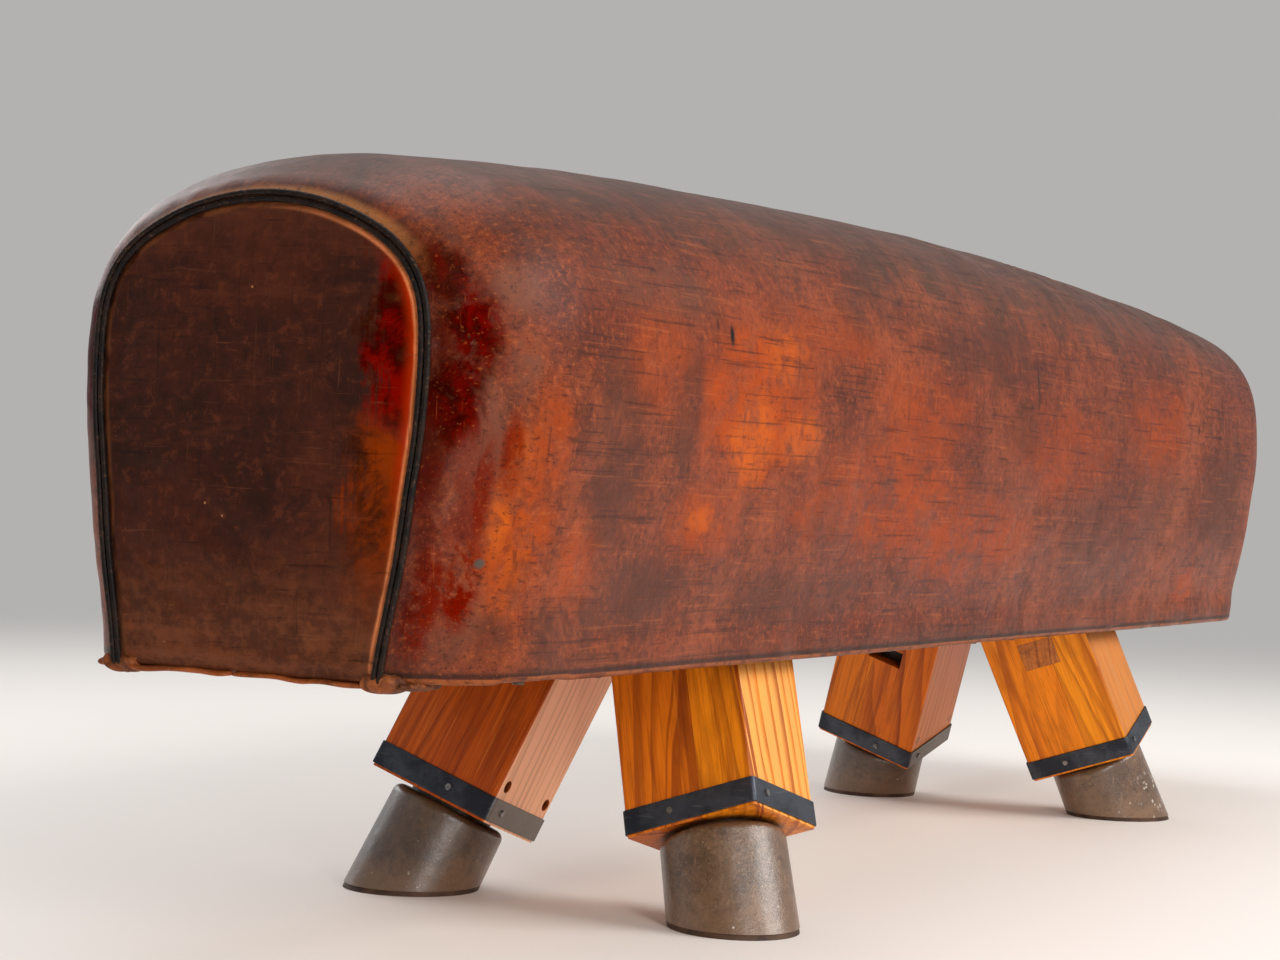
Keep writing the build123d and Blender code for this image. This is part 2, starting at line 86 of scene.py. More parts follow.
# ---------------------------------------------------------------------------
# measures of the horse, in millimetres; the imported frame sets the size
# ---------------------------------------------------------------------------
lo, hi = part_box("leather_cover")
END_X = round(hi.x * 1000, 1)
ROUND, ROUND_EXP, CROWN, CROWN_X, END_RISE = 120.0, 3.0, 24.6, 750.0, 7.0
Z_BOTTOM, Z_TOP = 197.0, 566.3
FULL = [(158, 197.0), (159.5, 228.5), (168.2, 272.4), (177, 329.9), (181.6, 377.4), (182.4, 410.8), (180.3, 443.7),
        (173.2, 475.6), (159, 505.1), (138, 528.4), (109.5, 546.0), (76, 557.2), (38.5, 564.0), (0, 566.3)]
ARCH = [(103, 198.0), (108, 229.4), (115, 267.0), (121, 315.9), (126, 358.8), (127.5, 395.6), (126.5, 420.1),
        (122.5, 440.5), (113, 459.0), (99, 473.3), (79, 485.6), (54, 495.8), (27, 502.0), (0, 504.0)]
LEG_X, LEG_Y, SPLAY_X, SPLAY_Y = 401.0, 73.5, 0.321, 0.343
LEGS = {"fl": (-1, -1), "bl": (-1, 1), "fr": (1, -1), "br": (1, 1)}


def half_section(x):
    s = min(1.0, (END_X - min(abs(x), END_X)) / ROUND)
    w = (1.0 - s) ** ROUND_EXP
    drop = CROWN * (abs(x) / CROWN_X) ** 2
    out = []
    for (fy, fz), (py, pz) in zip(FULL, ARCH):
        t = max(0.0, (fz - Z_BOTTOM) / (Z_TOP - Z_BOTTOM)) ** 1.5
        z = (fz - drop * t) * (1 - w) + pz * w
        z += END_RISE * x / END_X * (z - Z_BOTTOM) / (Z_TOP - Z_BOTTOM)
        out.append((fy * (1 - w) + py * w, z))
    return out


def inset(points, d):
    out, n = [], len(points)
    for i, (y, z) in enumerate(points):
        y0, z0 = points[max(0, i - 1)]
        y1, z1 = points[min(n - 1, i + 1)]
        ty, tz = y1 - y0, z1 - z0
        if i == n - 1:
            ty, tz = -1.0, 0.0
        m = math.hypot(ty, tz)
        if i == 0:
            out.append((y - d / max(0.2, tz / m), z))
        else:
            out.append((y - tz / m * d, z + ty / m * d))
    return out


def full_outline(half):
    return np.array([(-y, z) for y, z in half] + [(y, z) for y, z in reversed(half[:-1])], float)


def spline(points, t):
    """Natural cubic spline through points, by chord length, at fractions t."""
    p = np.asarray(points, float)
    h = np.linalg.norm(np.diff(p, axis=0), axis=1)
    s = np.concatenate([[0], np.cumsum(h)])
    n = len(p)
    a = np.zeros((n, n))
    r = np.zeros((n, p.shape[1]))
    a[0, 0] = a[-1, -1] = 1
    for i in range(1, n - 1):
        a[i, i - 1], a[i, i], a[i, i + 1] = h[i - 1], 2 * (h[i - 1] + h[i]), h[i]
        r[i] = 6 * ((p[i + 1] - p[i]) / h[i] - (p[i] - p[i - 1]) / h[i - 1])
    m = np.linalg.solve(a, r)
    q = np.clip(np.asarray(t) * s[-1], 0, s[-1] - 1e-9)
    k = np.clip(np.searchsorted(s, q, side="right") - 1, 0, n - 2)
    A = (s[k + 1] - q)[:, None]
    B = (q - s[k])[:, None]
    H = h[k][:, None]
    return (m[k] * A ** 3 + m[k + 1] * B ** 3) / (6 * H) + (p[k] / H - m[k] * H / 6) * A + (p[k + 1] / H - m[k + 1] * H / 6) * B


def even(points, count):
    """count points evenly spaced along a curve."""
    fine = spline(points, np.linspace(0, 1, 1200))
    s = np.concatenate([[0], np.cumsum(np.linalg.norm(np.diff(fine, axis=0), axis=1))])
    want = np.linspace(0, s[-1], count)
    return np.stack([np.interp(want, s, fine[:, i]) for i in range(fine.shape[1])], 1)


# ---------------------------------------------------------------------------
# smooth seeded noise on a plane
# ---------------------------------------------------------------------------
def vnoise(a, b, seed):
    rnd = np.random.RandomState(seed).uniform(-1, 1, (64, 64))
    ia, ib = np.floor(a).astype(int), np.floor(b).astype(int)
    fa, fb = a - ia, b - ib
    fa, fb = fa * fa * fa * (fa * (fa * 6 - 15) + 10), fb * fb * fb * (fb * (fb * 6 - 15) + 10)
    v = lambda i, j: rnd[(ia + i) % 64, (ib + j) % 64]
    return (v(0, 0) * (1 - fa) + v(1, 0) * fa) * (1 - fb) + (v(0, 1) * (1 - fa) + v(1, 1) * fa) * fb


def fbm(a, b, seed, octaves=3):
    out, amp = 0, 1.0
    for i in range(octaves):
        out = out + amp * vnoise(a * 2 ** i, b * 2 ** i, seed + i)
        amp *= 0.5
    return out


def smooth(a, lo_, hi_):
    t = np.clip((a - lo_) / (hi_ - lo_), 0, 1)
    return t * t * (3 - 2 * t)


# ---------------------------------------------------------------------------
# meshes
# ---------------------------------------------------------------------------
def make_mesh(name, verts_mm, faces, body=BODY, attributes=None, smooth_shade=True):
    me = bpy.data.meshes.new(name)
    me.from_pydata((np.asarray(verts_mm, float) / 1000.0).tolist(), [], faces)
    me.validate()
    for key, values in (attributes or {}).items():
        at = me.attributes.new(key, "FLOAT", "POINT")
        at.data.foreach_set("value", np.asarray(values, np.float32))
    if smooth_shade:
        me.polygons.foreach_set("use_smooth", [True] * len(me.polygons))
    me.update()
    ob = bpy.data.objects.new(name, me)
    bpy.context.scene.collection.objects.link(ob)
    if body:
        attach(ob, body)
    return ob


def grid_faces(rows, cols, flip=False):
    r, c = np.meshgrid(np.arange(rows - 1), np.arange(cols - 1), indexing="ij")
    a = (r * cols + c).ravel()
    quads = np.stack([a, a + 1, a + cols + 1, a + cols], 1)
    if flip:
        quads = quads[:, ::-1]
    return quads.tolist()


def apply_modifiers(ob):
    dg = bpy.context.evaluated_depsgraph_get()
    new = bpy.data.meshes.new_from_object(ob.evaluated_get(dg), preserve_all_data_layers=True, depsgraph=dg)
    old = ob.data
    ob.modifiers.clear()
    ob.data = new
    bpy.data.meshes.remove(old)


def grid_normals(P):
    """Normals of a (rows, cols, 3) grid of points."""
    du = np.gradient(P, axis=0)
    dv = np.gradient(P, axis=1)
    n = np.cross(du, dv)
    return n / np.maximum(np.linalg.norm(n, axis=2, keepdims=True), 1e-9)


def tube(name, path, radius, segments=14, twist=0.0, lump=None, body=BODY):
    """Closed tube along a path of points in mm; radius is a number or one per point."""
    path = np.asarray(path, float)
    n = len(path)
    rad = np.broadcast_to(np.asarray(radius, float), (n,))
    t = np.gradient(path, axis=0)
    t /= np.linalg.norm(t, axis=1)[:, None]
    up = np.array([1.0, 0, 0])
    verts, faces = [], []
    for i in range(n):
        a = up - t[i] * (up @ t[i])
        a /= np.linalg.norm(a)
        b = np.cross(t[i], a)
        up = a
        for k in range(segments):
            w = 2 * math.pi * k / segments
            r = rad[i] * (1.0 + (lump[i][k] if lump is not None else 0.0))
            verts.append(path[i] + (a * math.cos(w) + b * math.sin(w)) * r)
    for i in range(n - 1):
        for k in range(segments):
            k2 = (k + 1) % segments
            faces.append((i * segments + k, i * segments + k2, (i + 1) * segments + k2, (i + 1) * segments + k))
    for i, sgn in ((0, -1), (n - 1, 1)):
        verts.append(path[i] + t[i] * rad[i] * 0.5 * sgn)
        c = len(verts) - 1
        for k in range(segments):
            k2 = (k + 1) % segments
            f = (i * segments + k, i * segments + k2, c)
            faces.append(f if sgn > 0 else f[::-1])
    return make_mesh(name, verts, faces, body=body)


# ---------------------------------------------------------------------------
# node-building helpers
# ---------------------------------------------------------------------------
def lin(c):
    c = c / 255.0
    return c / 12.92 if c <= 0.04045 else ((c + 0.055) / 1.055) ** 2.4


def C(r, g, b):
    return (lin(r), lin(g), lin(b), 1.0)


class Mat:
    def __init__(self, name):
        self.m = bpy.data.materials.new(name)
        self.m.use_nodes = True
        self.t = self.m.node_tree
        self.t.nodes.clear()
        self.out = self.t.nodes.new("ShaderNodeOutputMaterial")
        self.p = self.node("ShaderNodeTexCoord").outputs["Object"]

    def node(self, kind, **kw):
        n = self.t.nodes.new(kind)
        for k, v in kw.items():
            setattr(n, k, v)
        return n

    def put(self, socket, v):
        if isinstance(v, bpy.types.NodeSocket):
            self.t.links.new(v, socket)
        elif v is not None:
            socket.default_value = v

    def math(self, op, a, b=0.0, c=0.0, clamp=False):
        n = self.node("ShaderNodeMath", operation=op, use_clamp=clamp)
        self.put(n.inputs[0], a)
        self.put(n.inputs[1], b)
        self.put(n.inputs[2], c)
        return n.outputs[0]

    def add(self, a, b): return self.math("ADD", a, b)
    def sub(self, a, b): return self.math("SUBTRACT", a, b)
    def mul(self, a, b): return self.math("MULTIPLY", a, b)

    def vmath(self, op, a, b=None, out=0):
        n = self.node("ShaderNodeVectorMath", operation=op)
        self.put(n.inputs[0], a)
        if b is not None:
            self.put(n.inputs[1], b)
        return n.outputs[out]

    def scaled(self, v, s):
        return self.vmath("MULTIPLY", v, s)

    def shift(self, v, s):
        return self.vmath("ADD", v, s)

    def xyz(self, v):
        n = self.node("ShaderNodeSeparateXYZ")
        self.put(n.inputs[0], v)
        return n.outputs

    def combine(self, x, y, z):
        n = self.node("ShaderNodeCombineXYZ")
        for i, v in enumerate((x, y, z)):
            self.put(n.inputs[i], v)
        return n.outputs[0]

    def noise(self, v, scale=1.0, detail=4.0, rough=0.55, dist=0.0, kind="FBM", lac=2.0):
        n = self.node("ShaderNodeTexNoise", noise_type=kind)
        self.put(n.inputs["Vector"], v)
        n.inputs["Scale"].default_value = scale
        n.inputs["Detail"].default_value = detail
        n.inputs["Roughness"].default_value = rough
        n.inputs["Lacunarity"].default_value = lac
        n.inputs["Distortion"].default_value = dist
        return n.outputs[0]

    def voronoi(self, v, scale=1.0, feature="F1", rand=1.0, out=0):
        n = self.node("ShaderNodeTexVoronoi", feature=feature)
        self.put(n.inputs["Vector"], v)
        n.inputs["Scale"].default_value = scale
        n.inputs["Randomness"].default_value = rand
        return n.outputs[out]

    def span(self, v, a, b, c=0.0, d=1.0, soft=True):
        n = self.node("ShaderNodeMapRange", interpolation_type="SMOOTHSTEP" if soft else "LINEAR", clamp=True)
        self.put(n.inputs[0], v)
        for i, x in enumerate((a, b, c, d)):
            self.put(n.inputs[i + 1], x)
        return n.outputs[0]

    def mix(self, f, a, b, blend="MIX"):
        n = self.node("ShaderNodeMix", data_type="RGBA", blend_type=blend, clamp_factor=True)
        self.put(n.inputs[0], f)
        self.put(n.inputs[6], a)
        self.put(n.inputs[7], b)
        return n.outputs[2]

    def attr(self, name):
        return self.node("ShaderNodeAttribute", attribute_type="GEOMETRY", attribute_name=name).outputs["Fac"]

    def blob(self, centre, radii, warp, power=1.0):
        """Soft spot: 1 at the centre, 0 beyond the radii; its rim is ragged by warp."""
        d = self.vmath("SUBTRACT", self.p, tuple(centre))
        d = self.vmath("DIVIDE", d, tuple(radii))
        r = self.vmath("LENGTH", d, out=1)
        r = self.add(r, self.mul(self.sub(warp, 0.5), 1.5))
        return self.span(r, 1.0, 0.35, 0.0, power)

    def bump(self, height, strength=0.3, distance=0.001, normal=None):
        n = self.node("ShaderNodeBump")
        n.inputs["Strength"].default_value = strength
        n.inputs["Distance"].default_value = distance
        self.put(n.inputs["Height"], height)
        self.put(n.inputs["Normal"], normal)
        return n.outputs[0]

    def finish(self, color, rough, normal=None, metallic=0.0, spec=0.5, coat=0.0, coat_rough=0.2, sheen=0.0, coat_normal=None):
        b = self.node("ShaderNodeBsdfPrincipled")
        self.put(b.inputs["Base Color"], color)
        self.put(b.inputs["Roughness"], rough)
        self.put(b.inputs["Metallic"], metallic)
        self.put(b.inputs["Specular IOR Level"], spec)
        self.put(b.inputs["Coat Weight"], coat)
        self.put(b.inputs["Coat Roughness"], coat_rough)
        self.put(b.inputs["Sheen Weight"], sheen)
        if normal is not None:
            self.put(b.inputs["Normal"], normal)
            self.put(b.inputs["Coat Normal"], coat_normal if coat_normal is not None else normal)
        self.t.links.new(b.outputs[0], self.out.inputs[0])
        return self.m


# ---------------------------------------------------------------------------
# materials: leather
# ---------------------------------------------------------------------------
def leather_grain(g, strength=1.0):
    """Fine pebble, pores and creases, then soft dents, as a normal."""
    cells = g.voronoi(g.p, 620.0, "DISTANCE_TO_EDGE")
    pores = g.noise(g.p, 900.0, 3.0, 0.6)
    dents = g.noise(g.p, 38.0, 5.0, 0.6)
    n = g.bump(dents, 0.30 * strength, 0.0022)
    n = g.bump(g.add(g.span(cells, 0.0, 0.16), g.mul(pores, 0.8)), 0.20 * strength, 0.00022, n)
    return n


def scratch_marks(g, coarse=1.0):
    """Thin marks running along the horse and down its sides."""
    along = g.noise(g.scaled(g.p, (9.0, 330.0, 330.0)), 1.0, 3.0, 0.65)
    down = g.noise(g.scaled(g.p, (260.0, 260.0, 16.0)), 1.0, 3.0, 0.65)
    fleck = g.noise(g.scaled(g.p, (70.0, 160.0, 150.0)), 1.0, 4.0, 0.7)
    return along, down, fleck


def layered(g, spots, warp):
    out = None
    for centre, radii, power in spots:
        b = g.blob(centre, radii, warp, power)
        out = b if out is None else g.math("MAXIMUM", out, b)
    return out


def mat_leather_cover():
    g = Mat("leather_cover_hide")
    x, y, z = g.xyz(g.p)[:3]
    big = g.noise(g.p, 3.6, 5.0, 0.58, 0.9)
    mid = g.noise(g.shift(g.p, (3.1, 1.7, 0.4)), 13.0, 8.0, 0.70, 0.8)
    small = g.noise(g.shift(g.p, (7.3, 2.2, 5.1)), 55.0, 8.0, 0.74, 0.5)
    tiny = g.noise(g.shift(g.p, (2.3, 9.2, 1.1)), 210.0, 6.0, 0.75)
    warp = g.noise(g.shift(g.p, (1.3, 8.2, 2.4)), 19.0, 8.0, 0.76, 0.7)
    along, down, fleck = scratch_marks(g)
    level = g.noise(g.scaled(g.p, (19.0, 62.0, 62.0)), 1.0, 7.0, 0.74, 0.4)
    fall = g.noise(g.scaled(g.p, (44.0, 40.0, 19.0)), 1.0, 7.0, 0.74, 0.4)
    near = g.span(x, -0.30, -0.72)
    brush = g.add(g.mul(fall, near), g.mul(level, g.sub(1.0, near)))
    # ground colour: red-brown with darker and greyer clouds
    col = g.mix(g.span(big, 0.38, 0.62), C(112, 48, 26), C(150, 74, 42))
    col = g.mix(g.mul(g.span(mid, 0.47, 0.62), 0.60), col, C(92, 46, 33))
    col = g.mix(g.mul(g.span(brush, 0.50, 0.68), 0.46), col, C(164, 78, 42))
    col = g.mix(g.mul(g.span(small, 0.49, 0.62), 0.58), col, C(82, 38, 25))
    col = g.mix(g.mul(g.span(tiny, 0.53, 0.66), 0.50), col, C(188, 98, 54))
    col = g.mix(g.mul(g.span(tiny, 0.48, 0.38), 0.50), col, C(62, 28, 18))
    # worn amber patches
    gate = g.add(g.mul(brush, 0.30), g.add(g.mul(small, 0.38), g.mul(mid, 0.32)))
    amber = g.mul(layered(g, AMBER, warp), g.span(gate, 0.40, 0.56))
    col = g.mix(amber, col, C(178, 76, 18))
    hot = g.mul(layered(g, HOT, warp), g.span(gate, 0.42, 0.56))
    col = g.mix(hot, col, C(206, 100, 16))
    speck = g.mul(g.math("MAXIMUM", amber, hot), g.span(g.add(g.mul(small, 0.5), g.mul(tiny, 0.5)), 0.49, 0.42))
    col = g.mix(g.mul(speck, 0.55), col, C(96, 40, 16))
    # darker clouds, and painted highlights: soft lilac-grey glints
    col = g.mix(g.mul(layered(g, DUSK, warp), g.span(mid, 0.34, 0.54)), col, C(86, 45, 33))
    col = g.mix(g.mul(layered(g, PAINTED_GLINTS, warp), g.span(gate, 0.40, 0.54)), col, C(124, 74, 58))
    # greyed top: painted reflection of the bright room over the upper surface; the pale streaks on top are wear with
    # painted sheen
    top = g.span(g.add(z, g.mul(g.sub(mid, 0.5), 0.15)), 0.450, 0.540)
    col = g.mix(g.mul(top, 0.80), col, C(78, 60, 55))
    rub_and_sheen = g.mul(g.span(z, 0.50, 0.56), g.span(brush, 0.54, 0.66))
    col = g.mix(g.mul(rub_and_sheen, 0.55), col, C(148, 106, 84))
    # deep glossy red beside the piping
    edge = g.attr("edge")
    ruby = g.mul(layered(g, RUBY, warp), g.span(g.add(g.mul(mid, 0.6), g.mul(small, 0.4)), 0.34, 0.46))
    col = g.mix(ruby, col, g.mix(g.span(small, 0.42, 0.62), C(50, 3, 0), C(104, 5, 0)))
    ember = g.mul(layered(g, EMBER, warp), g.span(gate, 0.42, 0.53))
    col = g.mix(ember, col, C(116, 18, 0))
    seam = g.mul(g.span(edge, 16.0, 1.0), g.span(small, 0.36, 0.60))
    col = g.mix(g.mul(seam, 0.55), col, C(46, 16, 9))
    # painted highlight: a pale line where the rolled edge beside the cord catches the light, on the upper part of the
    # arch
    lip_highlight = g.mul(g.span(edge, 7.0, 1.5), g.span(z, 0.44, 0.49))
    col = g.mix(g.mul(lip_highlight, 0.7), col, C(196, 136, 86))
    # darker towards the hem, with a thin line of painted shade in the crease just above the turned edge
    hem = g.attr("hem")
    col = g.mix(g.mul(g.span(hem, 26.0, 1.0), 0.45), col, C(84, 42, 26))
    crease = g.mul(g.span(hem, 9.0, 6.0), g.span(hem, 2.5, 5.0))
    col = g.mix(g.mul(crease, 0.75), col, C(34, 16, 9))
    rub = g.mul(g.span(hem, 4.0, 2.0), g.span(small, 0.40, 0.56))
    col = g.mix(g.mul(rub, 0.65), col, C(178, 104, 58))
    # scratches, dark and pale, and flecks
    col = g.mix(g.mul(g.span(along, 0.57, 0.67), 0.58), col, C(58, 25, 16))
    col = g.mix(g.mul(g.span(along, 0.40, 0.31), 0.26), col, C(200, 112, 64))
    col = g.mix(g.mul(g.span(down, 0.61, 0.72), 0.45), col, C(60, 24, 14))
    col = g.mix(g.mul(g.span(down, 0.36, 0.26), 0.20), col, C(204, 108, 56))
    col = g.mix(g.mul(g.span(fleck, 0.62, 0.70), 0.50), col, C(52, 24, 17))
    # one dark scar and one grey dot on the front side, a seam-like rub further along
    for centre, radii, colour, power in SCARS:
        b = g.blob(centre, radii, 0.5, power)
        col = g.mix(b, col, colour)
    col = g.mix(1.0, col, (0.76, 0.66, 0.50, 1.0), "MULTIPLY")
    rough = g.add(0.42, g.mul(g.sub(mid, 0.5), 0.30))
    rough = g.add(rough, g.mul(g.sub(small, 0.5), 0.20))
    rough = g.sub(rough, g.mul(ruby, 0.16))
    n = leather_grain(g)
    n = g.bump(g.add(g.mul(along, 0.5), g.mul(down, 0.5)), 0.16, 0.0006, n)
    return g.finish(col, rough, n, spec=g.sub(0.16, g.mul(g.math("MAXIMUM", g.math("MAXIMUM", ruby, ember), g.mul(amber, 0.5)), 0.16)))


def mat_leather_end():
    g = Mat("leather_end_hide")
    x, y, z = g.xyz(g.p)[:3]
    big = g.noise(g.shift(g.p, (0.2, 4.4, 1.1)), 7.5, 5.0, 0.6, 0.8)
    mid = g.noise(g.shift(g.p, (5.2, 0.4, 3.1)), 24.0, 7.0, 0.68, 0.5)
    warp = g.noise(g.shift(g.p, (2.3, 3.3, 0.8)), 20.0, 5.0, 0.7)
    level = g.noise(g.scaled(g.p, (60.0, 14.0, 300.0)), 1.0, 3.0, 0.65)
    down = g.noise(g.scaled(g.p, (60.0, 300.0, 14.0)), 1.0, 3.0, 0.65)
    edge = g.attr("edge")
    col = g.mix(g.span(big, 0.34, 0.68), C(56, 26, 15), C(80, 38, 22))
    col = g.mix(g.mul(g.span(mid, 0.46, 0.62), 0.62), col, C(42, 20, 13))
    spots = g.noise(g.shift(g.p, (3.2, 1.4, 6.1)), 95.0, 7.0, 0.74, 0.3)
    col = g.mix(g.mul(g.span(spots, 0.52, 0.64), 0.40), col, C(112, 60, 38))
    col = g.mix(g.mul(g.span(spots, 0.47, 0.37), 0.45), col, C(32, 15, 10))
    wipe = g.noise(g.scaled(g.p, (60.0, 13.0, 70.0)), 1.0, 6.0, 0.72)
    col = g.mix(g.mul(g.span(wipe, 0.52, 0.68), 0.34), col, C(104, 56, 36))
    col = g.mix(g.mul(g.span(z, 0.290, 0.215), g.add(0.30, g.mul(g.span(g.add(g.mul(spots, 0.5), g.mul(wipe, 0.5)), 0.42, 0.58), 0.55))), col, C(120, 72, 47))
    col = g.mix(g.mul(g.span(z, 0.44, 0.49), 0.35), col, C(104, 58, 42))
    # ruby and amber down the edge nearest the light
    lane = g.add(y, g.mul(g.sub(warp, 0.5), 0.075))
    lane = g.add(lane, g.mul(g.sub(down, 0.5), 0.030))
    high = g.add(z, g.mul(g.sub(warp, 0.5), 0.08))
    amber = g.mul(g.span(lane, -0.066, -0.086), g.mul(g.span(high, 0.22, 0.29), g.span(high, 0.375, 0.335)))
    col = g.mix(g.mul(g.mul(amber, g.span(mid, 0.36, 0.56)), 0.85), col, C(150, 62, 12))
    ruby = g.mul(g.span(lane, -0.078, -0.092), g.mul(g.span(high, 0.335, 0.375), g.span(high, 0.475, 0.440)))
    col = g.mix(g.mul(g.mul(ruby, 0.95), g.span(mid, 0.36, 0.48)), col, g.mix(g.span(mid, 0.44, 0.60), C(58, 2, 0), C(132, 8, 0)))
    # painted light: an orange glow along the edge nearest the light, where the panel catches grazing light
    painted_glow = g.mul(g.mul(g.span(edge, 18.0, 6.0), g.span(y, -0.06, -0.11)), g.mul(g.span(z, 0.28, 0.34), g.span(z, 0.47, 0.43)))
    col = g.mix(g.mul(painted_glow, 0.9), col, C(186, 52, 10))
    # painted highlight: a pale pink line where the rolled edge beside the cord catches the light, strongest on the -y
    # side, and a softer pale one all round the arch
    rim = g.mul(g.span(edge, 8.6, 6.6), g.span(y, 0.02, -0.10))
    col = g.mix(g.mul(rim, 0.9), col, C(250, 160, 112))
    rim_highlight_soft = g.mul(g.span(edge, 10.0, 5.0), g.span(mid, 0.38, 0.58))
    col = g.mix(g.mul(rim_highlight_soft, 0.7), col, C(150, 96, 62))
    col = g.mix(g.mul(g.span(level, 0.61, 0.72), 0.5), col, C(28, 13, 9))
    col = g.mix(g.mul(g.span(level, 0.36, 0.26), 0.35), col, C(132, 82, 58))
    col = g.mix(g.mul(g.span(down, 0.62, 0.72), 0.4), col, C(30, 13, 9))
    col = g.mix(g.mul(g.span(down, 0.35, 0.25), 0.25), col, C(140, 90, 62))
    specks = g.voronoi(g.p, 70.0, "F1")
    gate = g.noise(g.p, 90.0, 2.0, 0.5)
    col = g.mix(g.mul(g.span(specks, 0.075, 0.04), g.span(gate, 0.60, 0.64)), col, C(176, 128, 98))
    col = g.mix(1.0, col, (0.82, 0.66, 0.50, 1.0), "MULTIPLY")
    rough = g.add(0.48, g.mul(g.sub(mid, 0.5), 0.35))
    n = leather_grain(g, 1.1)
    n = g.bump(g.add(g.mul(level, 0.6), g.mul(down, 0.4)), 0.16, 0.0006, n)
    return g.finish(col, rough, n, spec=g.sub(0.12, g.mul(g.math("MAXIMUM", ruby, amber), 0.12)))


def mat_leather_cord():
    g = Mat("leather_cord_dark")
    mid = g.noise(g.p, 60.0, 6.0, 0.7)
    fine = g.noise(g.p, 420.0, 4.0, 0.7)
    col = g.mix(g.span(mid, 0.40, 0.64), C(15, 9, 7), C(36, 22, 15))
    col = g.mix(g.mul(g.span(fine, 0.56, 0.68), 0.50), col, C(104, 72, 50))
    n = g.bump(g.add(mid, g.mul(fine, 0.6)), 0.5, 0.0009)
    return g.finish(col, g.add(0.36, g.mul(fine, 0.3)), n, spec=0.15)


def mat_leather_hem():
    g = Mat("leather_hem_raw")
    big = g.noise(g.p, 14.0, 6.0, 0.65, 0.5)
    fine = g.noise(g.p, 300.0, 5.0, 0.7)
    fibre = g.noise(g.scaled(g.p, (40.0, 260.0, 260.0)), 1.0, 4.0, 0.7)
    col = g.mix(g.span(big, 0.36, 0.64), C(84, 38, 14), C(156, 78, 30))
    col = g.mix(g.mul(g.span(fibre, 0.52, 0.70), 0.6), col, C(58, 30, 20))
    col = g.mix(g.mul(g.span(fine, 0.52, 0.70), 0.4), col, C(196, 140, 96))
    n = g.bump(g.add(g.mul(big, 0.8), g.add(g.mul(fibre, 0.4), g.mul(fine, 0.3))), 0.6, 0.0012)
    return g.finish(col, g.add(0.48, g.mul(fine, 0.3)), n, spec=0.18)


def mat_leather_fold():
    g = Mat("leather_fold_brown")
    big = g.noise(g.p, 30.0, 6.0, 0.65, 0.5)
    mid = g.noise(g.shift(g.p, (2.0, 1.0, 4.0)), 110.0, 6.0, 0.7, 0.3)
    col = g.mix(g.span(big, 0.38, 0.62), C(88, 44, 20), C(156, 84, 40))
    col = g.mix(g.mul(g.span(mid, 0.48, 0.62), 0.6), col, C(48, 22, 12))
    col = g.mix(g.mul(g.span(mid, 0.42, 0.32), 0.5), col, C(196, 122, 70))
    n = g.bump(g.add(g.mul(big, 0.8), g.mul(mid, 0.4)), 0.5, 0.0016)
    return g.finish(col, g.add(0.44, g.mul(mid, 0.3)), leather_bump(g, n), spec=0.18)


def leather_bump(g, n):
    return g.bump(g.noise(g.p, 900.0, 3.0, 0.6), 0.15, 0.0003, n)


# centres and radii in metres in the horse's own frame
AMBER = [((-0.545, -0.18, 0.385), (0.125, 0.14, 0.085), 0.95), ((-0.613, -0.18, 0.300), (0.070, 0.14, 0.035), 0.80),
         ((-0.300, -0.18, 0.320), (0.230, 0.14, 0.060), 0.75), ((-0.090, -0.18, 0.290), (0.200, 0.14, 0.050), 0.70),
         ((-0.230, -0.18, 0.400), (0.150, 0.14, 0.040), 0.55), ((0.130, -0.18, 0.370), (0.180, 0.14, 0.060), 0.50),
         ((0.420, -0.18, 0.400), (0.120, 0.14, 0.070), 0.60), ((0.596, -0.17, 0.240), (0.060, 0.14, 0.030), 0.7),
         ((-0.700, -0.18, 0.410), (0.070, 0.14, 0.060), 0.45), ((-0.420, -0.18, 0.440), (0.150, 0.14, 0.035), 0.5), ((-0.240, -0.18, 0.375), (0.120, 0.12, 0.055), 0.6), ((-0.620, -0.18, 0.385), (0.030, 0.12, 0.060), 0.6),
         ((-0.838, -0.17, 0.285), (0.034, 0.10, 0.095), 0.8), ((-0.826, -0.17, 0.350), (0.024, 0.10, 0.055), 0.7),
         ((-0.775, -0.17, 0.270), (0.035, 0.14, 0.050), 0.7),
         ((0.480, 0.18, 0.360), (0.230, 0.14, 0.090), 0.80), ((-0.250, 0.18, 0.400), (0.220, 0.14, 0.080), 0.85),
         ((0.835, -0.15, 0.300), (0.040, 0.12, 0.080), 0.6), ((-0.835, 0.16, 0.310), (0.035, 0.12, 0.100), 0.9),
         ((0.835, 0.16, 0.340), (0.040, 0.12, 0.100), 0.8), ((0.050, 0.18, 0.290), (0.200, 0.14, 0.050), 0.7),
         ((-0.560, 0.18, 0.280), (0.120, 0.14, 0.050), 0.6), ((0.150, 0.18, 0.430), (0.150, 0.14, 0.040), 0.5)]
HOT = [((-0.846, -0.160, 0.335), (0.010, 0.10, 0.030), 0.7), ((-0.548, -0.18, 0.358), (0.050, 0.14, 0.042), 1.0), ((-0.470, -0.18, 0.362), (0.050, 0.14, 0.028), 0.8),
       ((-0.505, -0.18, 0.420), (0.045, 0.14, 0.035), 0.6), ((-0.836, -0.17, 0.270), (0.014, 0.10, 0.040), 0.4),
       ((-0.852, -0.16, 0.300), (0.010, 0.10, 0.030), 0.8), ((-0.610, -0.18, 0.302), (0.040, 0.14, 0.014), 0.6),
       ((0.300, 0.18, 0.390), (0.080, 0.14, 0.045), 0.9), ((-0.420, 0.18, 0.340), (0.070, 0.14, 0.050), 0.8),
       ((-0.838, 0.16, 0.300), (0.014, 0.10, 0.060), 0.9)]
